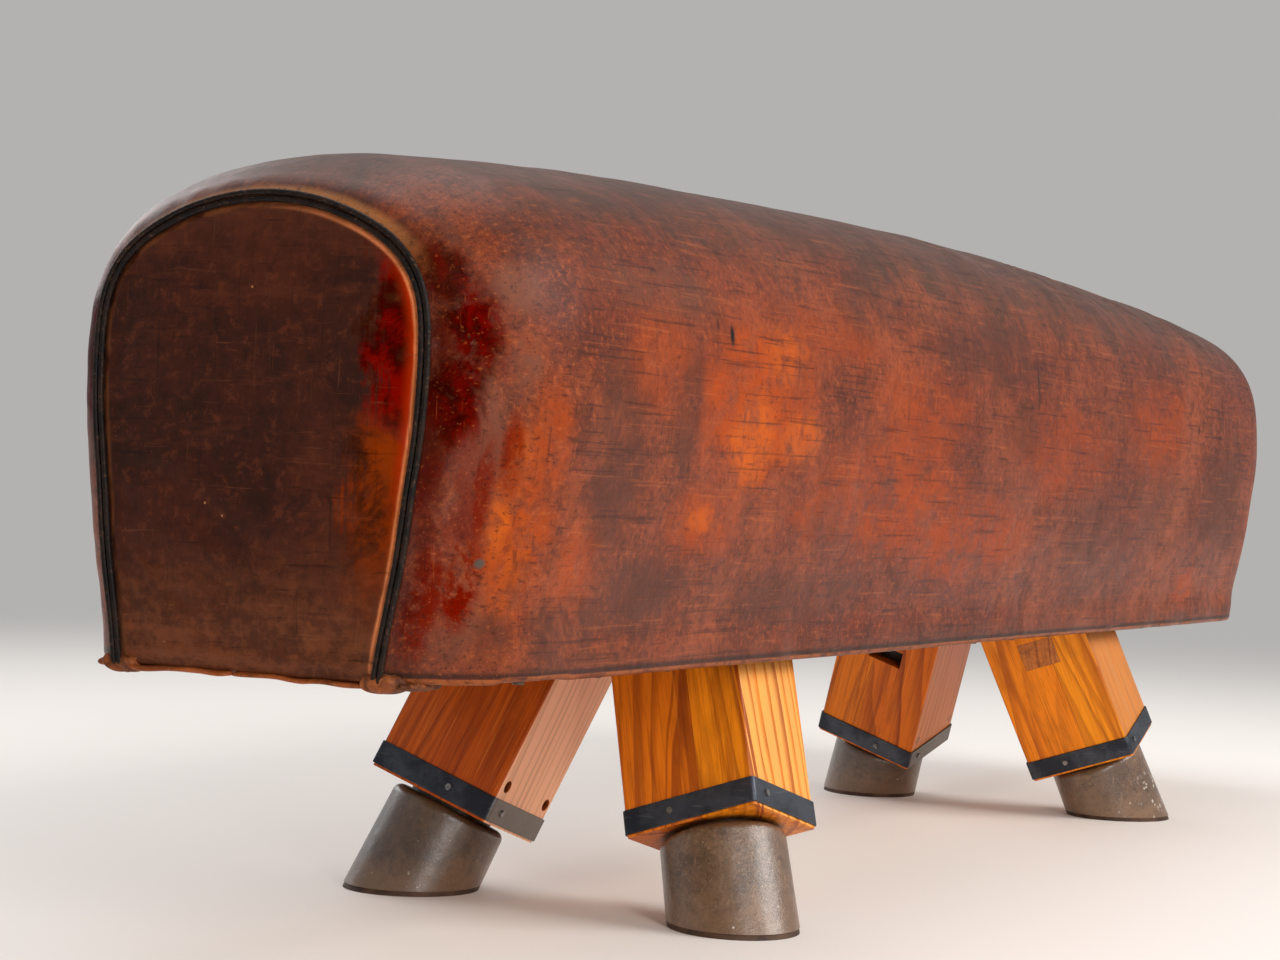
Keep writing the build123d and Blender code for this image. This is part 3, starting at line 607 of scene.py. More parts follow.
DUSK = [((-0.832, -0.162, 0.262), (0.012, 0.10, 0.022), 0.6), ((-0.778, -0.17, 0.229), (0.050, 0.10, 0.030), 0.7), ((0.301, -0.17, 0.251), (0.120, 0.12, 0.040), 0.6), ((-0.368, -0.17, 0.473), (0.120, 0.12, 0.040), 0.5), ((0.002, -0.18, 0.380), (0.070, 0.12, 0.050), 0.5), ((-0.854, -0.141, 0.222), (0.030, 0.10, 0.022), 0.7),
        ((-0.743, -0.18, 0.335), (0.060, 0.14, 0.090), 0.75), ((-0.676, -0.17, 0.250), (0.090, 0.14, 0.045), 0.80),
        ((-0.650, -0.18, 0.372), (0.026, 0.14, 0.060), 0.60), ((-0.051, -0.18, 0.450), (0.260, 0.14, 0.040), 0.70),
        ((-0.390, -0.18, 0.300), (0.050, 0.14, 0.040), 0.55), ((0.250, -0.18, 0.280), (0.160, 0.14, 0.070), 0.55),
        ((0.680, -0.17, 0.330), (0.130, 0.14, 0.110), 0.55), ((-0.440, -0.18, 0.245), (0.200, 0.14, 0.032), 0.55),
        ((-0.845, -0.16, 0.225), (0.030, 0.10, 0.020), 0.8), ((-0.774, -0.16, 0.228), (0.060, 0.10, 0.034), 0.9),
        ((-0.620, 0.18, 0.360), (0.130, 0.14, 0.080), 0.6), ((0.130, 0.18, 0.350), (0.150, 0.14, 0.050), 0.6),
        ((0.700, 0.18, 0.300), (0.120, 0.14, 0.090), 0.55)]
PAINTED_GLINTS = [((-0.868, -0.15, 0.350), (0.014, 0.08, 0.050), 0.9), ((-0.846, -0.165, 0.395), (0.014, 0.08, 0.030), 0.8),
         ((-0.848, -0.16, 0.440), (0.024, 0.08, 0.022), 0.9), ((-0.862, -0.15, 0.240), (0.018, 0.08, 0.030), 0.6),
         ((-0.700, -0.18, 0.455), (0.120, 0.10, 0.030), 0.5), ((0.450, -0.18, 0.330), (0.120, 0.12, 0.060), 0.4),
         ((-0.760, 0.18, 0.430), (0.080, 0.12, 0.050), 0.5), ((0.760, 0.18, 0.420), (0.080, 0.12, 0.050), 0.5)]
RUBY = [((-0.883, -0.138, 0.446), (0.017, 0.06, 0.034), 0.9), ((-0.874, -0.146, 0.414), (0.025, 0.08, 0.044), 1.0),
        ((-0.882, -0.142, 0.375), (0.022, 0.07, 0.050), 1.0), ((-0.890, -0.132, 0.335), (0.012, 0.05, 0.050), 0.8),
        ((-0.881, 0.140, 0.400), (0.022, 0.07, 0.070), 0.9), ((0.881, 0.140, 0.410), (0.022, 0.07, 0.070), 0.9),
        ((0.882, -0.138, 0.390), (0.022, 0.07, 0.060), 0.8)]
EMBER = [((-0.867, -0.14, 0.256), (0.013, 0.08, 0.040), 1.0), ((-0.864, -0.15, 0.315), (0.008, 0.08, 0.045), 0.8), ((-0.850, -0.165, 0.335), (0.010, 0.08, 0.035), 0.8),
         ((-0.882, -0.13, 0.250), (0.012, 0.06, 0.055), 0.9), ((-0.872, -0.15, 0.300), (0.020, 0.08, 0.090), 0.45),
         ((-0.884, -0.13, 0.300), (0.008, 0.06, 0.050), 0.5), ((0.866, 0.15, 0.300), (0.012, 0.08, 0.060), 0.8)]
SCARS = [((-0.591, -0.181, 0.430), (0.0045, 0.03, 0.010), C(26, 10, 7), 1.0),
         ((-0.612, -0.181, 0.436), (0.0025, 0.03, 0.006), C(50, 22, 14), 0.8),
         ((-0.859, -0.148, 0.272), (0.0042, 0.02, 0.0042), C(92, 84, 84), 1.0),
         ((0.047, -0.182, 0.432), (0.0035, 0.03, 0.034), C(58, 34, 26), 0.8)]


# ---------------------------------------------------------------------------
# materials: wood
# ---------------------------------------------------------------------------
def leg_axes(key):
    gx, gy = LEGS[key]
    up = Vector((-gx * SPLAY_X, -gy * SPLAY_Y, 1.0)).normalized()
    ax = (Vector((1, 0, 0)) - up * up.x).normalized()
    return Vector((gx * LEG_X / 1000, gy * LEG_Y / 1000, Z_BOTTOM / 1000)), ax, up.cross(ax), up


def leg_coords(g, key):
    o, ax, ay, az = leg_axes(key)
    d = g.vmath("SUBTRACT", g.p, tuple(o))
    return [g.vmath("DOT_PRODUCT", d, tuple(a), out=1) for a in (ax, ay, az)]


def wood(name, coords_of, pith, seed, light, dark, spacing=0.0062, coat=0.45, dirt=0.25, painted_sheen=None, occlusion_shade=(0.62, 0.18, 0.022), sway_by=0.022, shade=False):
    """Flat-sawn softwood: growth rings round a pith line outside the board, fibres along the third coordinate."""
    g = Mat(name)
    u, v, w = coords_of(g)
    q = g.combine(u, v, w)
    q = g.shift(q, (seed * 1.37, seed * 0.71, seed * 2.13))
    sway = g.noise(g.scaled(q, (7.0, 7.0, 2.2)), 1.0, 3.0, 0.5)
    sway2 = g.noise(g.scaled(q, (30.0, 30.0, 7.0)), 1.0, 3.0, 0.5)
    du = g.add(g.sub(u, pith[0]), g.mul(g.sub(sway, 0.5), sway_by))
    dv = g.add(g.sub(v, pith[1]), g.mul(g.sub(sway2, 0.5), 0.008))
    r = g.math("SQRT", g.add(g.mul(du, du), g.mul(dv, dv)))
    r = g.add(r, g.mul(w, 0.06))
    wander = g.noise(g.combine(g.mul(r, 55.0), seed, 0.0), 1.0, 3.0, 0.6)
    turns = g.add(g.math("DIVIDE", r, spacing), g.mul(wander, 3.2))
    ring = g.math("FRACT", turns)
    late = g.mul(g.span(ring, 0.35, 0.93), g.span(ring, 1.0, 0.94))
    bold = g.span(g.noise(g.combine(g.mul(r, 70.0), seed + 4.0, 0.0), 1.0, 2.0, 0.5), 0.38, 0.66)
    fibre = g.noise(g.scaled(q, (420.0, 420.0, 9.0)), 1.0, 5.0, 0.66)
    band_ = g.noise(g.scaled(q, (75.0, 75.0, 5.0)), 1.0, 4.0, 0.6)
    pores = g.noise(g.scaled(q, (1300.0, 1300.0, 34.0)), 1.0, 2.0, 0.6)
    cloud = g.noise(g.scaled(q, (22.0, 22.0, 9.0)), 1.0, 5.0, 0.65)
    col = g.mix(g.mul(late, g.add(0.22, g.mul(bold, 0.62))), light, dark)
    col = g.mix(g.mul(g.span(band_, 0.50, 0.68), 0.50), col, dark)
    col = g.mix(g.mul(g.span(fibre, 0.50, 0.68), 0.45), col, dark)
    col = g.mix(g.mul(g.span(fibre, 0.44, 0.30), 0.25), col, C(250, 176, 78))
    deep = tuple(c * 0.40 for c in dark[:3]) + (1.0,)
    col = g.mix(g.mul(g.span(cloud, 0.50, 0.70), dirt), col, deep)
    col = g.mix(g.mul(g.span(pores, 0.60, 0.70), 0.35), col, deep)
    if shade:
        # painted shade: the post is darkened from about 40 mm below the body's underside upwards, where it sits in
        # the socket's shade
        col = g.mix(g.span(w, -0.052, -0.040), col, C(20, 11, 6))
    # painted sheen: faces turned to -y are paled, standing for the varnish reflecting the light at a grazing angle
    if painted_sheen:
        face = g.xyz(g.node("ShaderNodeNewGeometry").outputs["True Normal"])[1]
        col = g.mix(g.mul(g.span(face, -0.60, -0.80), g.mul(painted_sheen[1], g.span(late, painted_sheen[2], 0.0))), col, painted_sheen[0])
    # painted shade: ambient occlusion darkens screw holes, corners and contacts, standing also for contact grime
    ao = g.node("ShaderNodeAmbientOcclusion", samples=4, only_local=False)
    ao.inputs["Distance"].default_value = occlusion_shade[2]
    col = g.mix(g.mul(g.span(ao.outputs["AO"], occlusion_shade[0], occlusion_shade[1]), 0.92), col, C(30, 14, 6))
    n = g.bump(g.sub(g.mul(fibre, 0.8), g.mul(late, -0.3)), 0.22, 0.0005)
    n = g.bump(g.noise(q, 60.0, 4.0, 0.6), 0.16, 0.0012, n)
    rough = g.add(0.30, g.mul(fibre, 0.24))
    return g.finish(col, rough, n, spec=0.24, coat=coat, coat_rough=0.16)


def horse_coords(g):
    x, y, z = g.xyz(g.p)[:3]
    return y, z, x


# ---------------------------------------------------------------------------
# materials: metal, shoes, soles, stuffing
# ---------------------------------------------------------------------------
def mat_band():
    g = Mat("band_steel_blued")
    big = g.noise(g.p, 26.0, 6.0, 0.65)
    fine = g.noise(g.p, 240.0, 5.0, 0.7)
    streak = g.noise(g.scaled(g.p, (40.0, 40.0, 500.0)), 1.0, 3.0, 0.6)
    col = g.mix(g.span(big, 0.38, 0.64), C(44, 48, 56), C(74, 78, 86))
    rust = g.mul(g.span(fine, 0.56, 0.70), g.span(big, 0.50, 0.66))
    col = g.mix(g.mul(rust, 0.6), col, C(96, 58, 36))
    col = g.mix(g.mul(g.span(streak, 0.60, 0.72), 0.3), col, C(120, 122, 126))
    facing, where = g.xyz(g.node("ShaderNodeNewGeometry").outputs["True Normal"])[1], g.xyz(g.p)[1]
    # painted reflection: on the back legs the band faces turned to -y are paled, standing for glare off the steel
    dull = g.mul(g.span(facing, -0.60, -0.80), g.span(where, 0.0, 0.02))
    col = g.mix(g.mul(dull, 0.55), col, C(150, 142, 132))
    n = g.bump(g.add(fine, g.mul(big, 0.6)), 0.25, 0.0006)
    return g.finish(col, g.add(0.30, g.mul(g.add(fine, rust), 0.25)), n, metallic=0.75, spec=0.5)


def mat_bright(name, base, dull):
    g = Mat(name)
    fine = g.noise(g.p, 500.0, 5.0, 0.7)
    big = g.noise(g.p, 60.0, 4.0, 0.6)
    col = g.mix(g.span(g.add(g.mul(fine, 0.6), g.mul(big, 0.4)), 0.44, 0.62), base, dull)
    return g.finish(col, g.add(0.22, g.mul(fine, 0.3)), g.bump(fine, 0.2, 0.0003), metallic=0.95)


def mat_shoe():
    g = Mat("shoe_iron_patina")
    big = g.noise(g.p, 22.0, 6.0, 0.66, 0.4)
    mid = g.noise(g.shift(g.p, (2.0, 4.0, 1.0)), 85.0, 7.0, 0.72, 0.3)
    fine = g.noise(g.p, 520.0, 4.0, 0.7)
    down = g.noise(g.scaled(g.p, (240.0, 240.0, 18.0)), 1.0, 3.0, 0.65)
    x, y, z = g.xyz(g.p)[:3]
    col = g.mix(g.span(big, 0.34, 0.68), C(92, 64, 42), C(130, 98, 70))
    col = g.mix(g.mul(g.span(mid, 0.44, 0.66), 0.55), col, C(66, 44, 28))
    grit = g.noise(g.shift(g.p, (4.0, 2.0, 7.0)), 240.0, 6.0, 0.75)
    col = g.mix(g.mul(g.span(grit, 0.50, 0.62), 0.60), col, C(54, 36, 23))
    col = g.mix(g.mul(g.span(fine, 0.55, 0.66), 0.50), col, C(158, 130, 100))
    top_rim = g.span(g.noise(g.p, 30.0, 4.0, 0.6), 0.40, 0.62)
    col = g.mix(g.mul(top_rim, 0.25), col, C(48, 34, 24))
    col = g.mix(g.mul(g.span(down, 0.62, 0.72), 0.4), col, C(150, 126, 98))
    # painted shade: the feet on the far side (y > 0) are darkened, as they get less light
    col = g.mix(g.mul(g.span(y, -0.02, 0.02), 0.58), col, C(44, 27, 14))
    low = g.span(g.add(z, g.mul(g.sub(mid, 0.5), 0.05)), 0.040, 0.006)
    col = g.mix(g.mul(low, 0.5), col, C(126, 92, 62))
    pale = g.mul(g.span(g.voronoi(g.p, 120.0), 0.20, 0.10), g.span(g.noise(g.p, 60.0, 3.0, 0.6), 0.56, 0.62))
    col = g.mix(g.mul(g.mul(pale, low), 0.9), col, C(206, 196, 180))
    chips = g.mul(g.span(g.voronoi(g.p, 170.0), 0.42, 0.30), g.span(g.noise(g.shift(g.p, (1.0, 5.0, 2.0)), 90.0, 5.0, 0.7), 0.52, 0.56))
    chips = g.mul(chips, g.mul(g.blob((0.464, -0.172, 0.030), (0.050, 0.036, 0.028), 0.5, 1.0), g.span(z, 0.004, 0.010)))
    col = g.mix(g.mul(chips, 0.9), col, C(222, 212, 198))
    flecks = g.mul(g.span(g.voronoi(g.p, 210.0), 0.12, 0.06), g.span(g.noise(g.p, 40.0, 3.0, 0.6), 0.58, 0.62))
    col = g.mix(g.mul(flecks, 0.7), col, C(190, 176, 156))
    n = g.bump(g.add(g.mul(big, 0.7), g.add(g.mul(mid, 0.6), g.mul(fine, 0.18))), 0.5, 0.0016)
    return g.finish(col, g.add(0.22, g.mul(mid, 0.26)), n, spec=0.7, coat=0.40, coat_rough=0.20)


def mat_sole():
    g = Mat("sole_leather_stack")
    x, y, z = g.xyz(g.p)[:3]
    layers = g.noise(g.scaled(g.p, (30.0, 30.0, 1500.0)), 1.0, 3.0, 0.6)
    big = g.noise(g.p, 40.0, 5.0, 0.65)
    col = g.mix(g.span(big, 0.38, 0.62), C(54, 36, 27), C(88, 62, 45))
    col = g.mix(g.mul(g.span(layers, 0.50, 0.66), 0.5), col, C(52, 33, 24))
    n = g.bump(g.add(layers, big), 0.5, 0.0008)
    return g.finish(col, 0.62, n, spec=0.3)


def mat_stuffing():
    g = Mat("horsehair_stuffing")
    hair = g.noise(g.scaled(g.p, (120.0, 400.0, 260.0)), 1.0, 6.0, 0.7, 1.2)
    big = g.noise(g.p, 20.0, 4.0, 0.6)
    col = g.mix(g.span(hair, 0.40, 0.62), C(36, 26, 20), C(112, 88, 62))
    col = g.mix(g.mul(g.span(big, 0.45, 0.65), 0.4), col, C(60, 44, 32))
    return g.finish(col, 0.85, g.bump(hair, 0.9, 0.003), spec=0.2)


COVER = mat_leather_cover()
END = mat_leather_end()
CORD = mat_leather_cord()
HEM = mat_leather_hem()
BAND = mat_band()
SCREW = mat_bright("screw_steel_bright", C(150, 148, 146), C(84, 78, 74))
TACK = mat_bright("tack_steel_dark", C(96, 88, 80), C(52, 42, 36))
SHOE = mat_shoe()
SOLE = mat_sole()
STUFFING = mat_stuffing()

AMBER_WOOD = C(244, 142, 14)
AMBER_LATE = C(150, 58, 4)
# painted sheen for each leg: pale colour, strength and late-wood cut-off of the veil painted on its faces turned to
# -y
PAINTED_SHEEN_OF = {"fl": (C(240, 176, 92), 0.62, 1.1), "bl": (C(246, 184, 142), 0.97, 2.6), "fr": (C(178, 112, 58), 0.72, 1.6), "br": (C(220, 142, 84), 0.68, 2.2)}
TONES = {"fl": (C(238, 136, 12), C(142, 52, 3), C(226, 116, 8), C(128, 44, 3)),
         "bl": (C(196, 88, 6), C(104, 30, 1), C(190, 82, 6), C(100, 28, 1)),
         "fr": (C(250, 150, 10), C(160, 66, 3), C(244, 136, 8), C(150, 56, 3)),
         "br": (C(226, 118, 6), C(132, 46, 2), C(216, 106, 5), C(124, 42, 2))}
wood_of = {}
for i, key in enumerate(LEGS):
    gx, gy = LEGS[key]
    of_leg = (lambda k: (lambda g: leg_coords(g, k)))(key)
    k_out = 1 if leg_axes(key)[2].y * gy > 0 else -1
    wood_of["outer_" + key] = wood("pine_outer_" + key, of_leg, (0.105 * gx, -0.070 * k_out), i + 1.0, TONES[key][0], TONES[key][1], 0.0092, coat=0.08, dirt=0.28, painted_sheen=PAINTED_SHEEN_OF[key])
    wood_of["inner_" + key] = wood("pine_inner_" + key, of_leg, (0.150 * gx, 0.045 * k_out), i + 5.5, TONES[key][2], TONES[key][3], 0.0088, coat=0.08, dirt=0.30, painted_sheen=PAINTED_SHEEN_OF[key])
    wood_of["post_" + key] = wood("ash_post_" + key, of_leg, (0.06, 0.05), i + 9.0, C(206, 160, 98), C(150, 100, 52), 0.0034, coat=0.15, dirt=0.2, occlusion_shade=(0.80, 0.35, 0.05), shade=True)
PLUG = wood("plug_wood_fill", horse_coords, (0.3, 0.1), 3.3, C(196, 112, 44), C(120, 58, 18), 0.0050, coat=0.3)
CORE = wood("core_wood_plain", horse_coords, (0.05, 0.02), 4.4, C(176, 138, 92), C(120, 84, 48), 0.0065, coat=0.0, dirt=0.45)


def paint(node, material):
    ob = NODES[node]
    if not ob.material_slots:
        ob.data.materials.append(material)
    for s in ob.material_slots:
        s.material = material


for node in NODES:
    if node.startswith("socket_outer_") or node.startswith("socket_inner_"):
        paint(node, wood_of[node.split("_", 1)[1]])
    elif node.startswith("socket_band_"):
        paint(node, BAND)
    elif node.startswith("leg_post_"):
        paint(node, wood_of["post_" + node[-2:]])
    elif node.startswith("foot_shoe_"):
        paint(node, SHOE)
    elif node.startswith("foot_sole_"):
        paint(node, SOLE)
    elif node in ("band_screws", "lamination_screws"):
        paint(node, SCREW)
    elif node == "hem_tacks":
        paint(node, TACK)
    elif node in ("screw_plugs", "window_plugs"):
        paint(node, PLUG)
    elif node.startswith("padding_"):
        paint(node, STUFFING)
    elif node.startswith("piping_"):
        paint(node, CORD)
    elif node.startswith("end_panel_"):
        paint(node, END)
    elif node.startswith("hem_strip_"):
        paint(node, HEM)
    elif node == "leather_cover":
        paint(node, COVER)
    else:
        paint(node, CORE)

# softened arrises on the timber and the bands
for node, ob in NODES.items():
    if node.startswith("socket_") or node == "base_board":
        ob.modifiers.new("weld", "WELD").merge_threshold = 0.00002
        b = ob.modifiers.new("arris", "BEVEL")
        b.width = 0.0014 if not node.startswith("socket_band") else 0.0006
        b.segments = 2
        b.limit_method = "ANGLE"
        b.angle_limit = math.radians(50)
        b.harden_normals = False

# ---------------------------------------------------------------------------
# leather cover: one hide over the top and both sides, turned under and nailed
# ---------------------------------------------------------------------------
ROLL = 4.0
xs = np.concatenate([np.linspace(-END_X, -END_X + 60, 19)[:-1], np.linspace(-END_X + 60, END_X - 60, 281), np.linspace(END_X - 60, END_X, 19)[1:]])
M = 181


def hem_width(x):
    w = 22.0 + 2.2 * math.sin(x * 0.031) + 1.6 * math.sin(x * 0.083 + 1.0)
    for c in (-LEG_X, LEG_X):
        w -= (w - 12.0) * float(smooth(np.array(abs(x - c)), 104.0, 80.0))
    end = float(smooth(np.array(abs(x)), 820.0, 870.0))
    return w * (1 - end) + 15.0 * end


rows = []
arc = []
for x in xs:
    line = full_outline(half_section(x))
    fine = spline(line, np.linspace(0, 1, 700))
    keep_ = fine[:, 1] >= Z_BOTTOM + ROLL
    fine = fine[keep_]
    s = np.concatenate([[0], np.cumsum(np.linalg.norm(np.diff(fine, axis=0), axis=1))])
    want = np.linspace(0, s[-1], M)
    body_pts = np.stack([np.interp(want, s, fine[:, i]) for i in range(2)], 1)
    rows.append(body_pts)
    arc.append(want - s[-1] / 2)
BODY_GRID = np.array(rows)                       # stations x M x (y, z)
ARC = np.array(arc)
X = np.repeat(xs[:, None], M, 1)
P = np.concatenate([X[:, :, None], BODY_GRID], 2)
N = grid_normals(P)
if N[len(xs) // 2, M // 2, 2] < 0:
    N = -N

end_gap = END_X - np.abs(X)
height = P[:, :, 2] - Z_BOTTOM
side = np.sign(P[:, :, 1])
arc_all = np.concatenate([[0], np.cumsum(np.linalg.norm(np.diff(P[0], axis=0), axis=1))])
along_rim = np.repeat(arc_all[None, :], len(xs), 0)

D = np.zeros_like(X)
# slow swell of the stuffing
D += 1.5 * fbm(X / 210.0 + 3, ARC / 170.0 + 9, 11, 3) * smooth(end_gap, 4, 90)
D += 0.35 * fbm(X / 46.0, ARC / 40.0 + 5, 31, 2) * smooth(end_gap, 4, 60)
# drag lines across the top, slanting towards the far end
for seed, slope, lo_v, hi_v, amp, x0, x1, gap in ((51, 0.85, -40, 205, 1.5, 60, 860, 62.0), (61, -0.55, -210, 30, 0.9, -200, 820, 80.0), (71, 0.35, -120, 150, 0.55, -820, 100, 95.0)):
    v = -ARC                                      # positive towards the front side
    q = X - slope * v + 14.0 * vnoise(X / 130.0, v / 110.0, seed)
    lane = vnoise(q / gap, v / 260.0 + 7, seed + 1)
    crease = 1.0 - np.abs(lane) * 2.2
    crease = np.clip(crease, -0.6, 1.0)
    mask = smooth(v, lo_v, lo_v + 60) * smooth(v, hi_v, hi_v - 80) * smooth(X, x0, x0 + 160) * smooth(X, x1, x1 - 120)
    D -= amp * smooth(crease, 0.55, 1.0) * mask
    D += amp * 0.35 * smooth(crease, 0.2, 0.55) * (1 - smooth(crease, 0.55, 0.9)) * mask
# gathered beside the piping
D += 0.55 * np.sin(along_rim * 2 * np.pi / 27.0 + 2.2 * vnoise(along_rim / 40.0, X * 0, 81)) * np.exp(-end_gap / 16.0) * smooth(end_gap, 0.5, 6)
D -= 1.5 * np.exp(-(end_gap / 5.0) ** 2)
D += 1.1 * np.exp(-((end_gap - 13.0) / 8.0) ** 2)
# pulled in at the nails and slack between them
D -= 1.0 * (0.5 + 0.5 * np.cos(X * 2 * np.pi / 100.0)) * np.exp(-height / 16.0)
D += 0.5 * np.sin(X / 17.0 + 3 * vnoise(X / 60.0, X * 0, 91)) * np.exp(-height / 22.0)
D += 1.6 * np.exp(-((height - 16.0) / 12.0) ** 2) * smooth(end_gap, 10, 60) * (0.6 + 0.4 * vnoise(X / 90.0, X * 0 + 3, 95))
D = np.clip(D, -3.0, 5.0)
P = P + N * D[:, :, None]


def under(P_edge, normal_y, x, extra):
    """Points that roll a lower edge under the board and back to the hem's cut edge."""
    y0, z0 = P_edge
    s = -1.0 if y0 < 0 else 1.0
    pts = []
    for a in (22.5, 45.0, 67.5, 90.0):
        t = math.radians(a)
        pts.append((y0 - s * ROLL * (1 - math.cos(t)), z0 - ROLL * math.sin(t)))
    w = hem_width(x)
    for k in range(1, 6):
        f = k / 5.0
        wave = 0.35 * math.sin(x * 0.045 + 2.0 * f) * f + 0.25 * math.sin(x * 0.13) * f
        pts.append((y0 - s * (ROLL + (w - ROLL) * f), z0 - ROLL + wave * 0.6 + 0.2 * f))
    return pts


R = 9
cols = M + 2 * R
V = np.zeros((len(xs), cols, 3))
edge_attr = np.zeros((len(xs), cols))
hem_attr = np.zeros((len(xs), cols))
for i, x in enumerate(xs):
    left = under((P[i, 0, 1], P[i, 0, 2]), -1, x, 0)
    right = under((P[i, -1, 1], P[i, -1, 2]), 1, x, 0)
    for k in range(R):
        V[i, R - 1 - k] = (P[i, 0, 0], *left[k])
        V[i, R + M + k] = (P[i, -1, 0], *right[k])
    V[i, R:R + M] = P[i]
    edge_attr[i] = end_gap[i, 0]
    hem_attr[i, :R] = 0
    hem_attr[i, R + M:] = 0
    hem_attr[i, R:R + M] = P[i, :, 2] - Z_BOTTOM
# turned-in ends beneath the cords
ends = []
for side_i, idx in ((-1, 0), (1, len(xs) - 1)):
    base = V[idx].copy()
    cy = np.array([0.0, 340.0])
    out_rows = []
    for d, ex in ((1.8, 1.2), (4.4, 0.6)):
        row = base.copy()
        vec = row[:, 1:] - cy
        ln = np.linalg.norm(vec, axis=1)[:, None]
        row[:, 1:] = row[:, 1:] - vec / ln * d
        row[:, 0] = row[:, 0] + side_i * ex
        out_rows.append(row)
    ends.append(out_rows)
V = np.concatenate([np.array(ends[0][::-1]), V, np.array(ends[1])], 0)
edge_attr = np.concatenate([edge_attr[:1], edge_attr[:1], edge_attr, edge_attr[-1:], edge_attr[-1:]], 0)
hem_attr = np.concatenate([hem_attr[:1], hem_attr[:1], hem_attr, hem_attr[-1:], hem_attr[-1:]], 0)
faces = grid_faces(V.shape[0], cols)
cover = make_mesh("leather_cover_hide", V.reshape(-1, 3), faces, attributes={"edge": edge_attr.ravel(), "hem": hem_attr.ravel()})
cover.data.update()
mid_face = cover.data.polygons[(V.shape[0] // 2) * (cols - 1) + cols // 2]
if mid_face.normal.z < 0:
    cover.data.flip_normals()
cover.data.materials.append(COVER)
sol = cover.modifiers.new("thickness", "SOLIDIFY")
sol.thickness = 0.0024
sol.offset = -1.0
sol.use_even_offset = False
apply_modifiers(cover)
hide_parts("leather_cover", "hem_strip_front", "hem_strip_back")

# ---------------------------------------------------------------------------
# end panels: crowned by a cloth simulation, sewn down all round
# ---------------------------------------------------------------------------
def coons(rim, nu, nv):
    """Four-sided patch inside an arch-shaped rim."""
    full = even(rim, 600)
    n = len(full)
    a, b = int(n * 0.335), int(n * 0.665)
    sidel, top, sider = full[:a + 1], full[a:b + 1], full[b:][::-1]
    pick = lambda c, m: np.stack([np.interp(np.linspace(0, 1, m), np.linspace(0, 1, len(c)), c[:, i]) for i in range(2)], 1)
    D0, D1, C1 = pick(sidel, nv), pick(sider, nv), pick(top, nu)
    C0 = np.stack([np.linspace(D0[0, 0], D1[0, 0], nu), np.linspace(D0[0, 1], D1[0, 1], nu)], 1)
    u = np.linspace(0, 1, nu)[:, None, None]
    v = np.linspace(0, 1, nv)[None, :, None]
    G = (1 - v) * C0[:, None] + v * C1[:, None] + (1 - u) * D0[None] + u * D1[None]
    G -= (1 - u) * (1 - v) * D0[0] + u * (1 - v) * D1[0] + (1 - u) * v * D0[-1] + u * v * D1[-1]
    return G


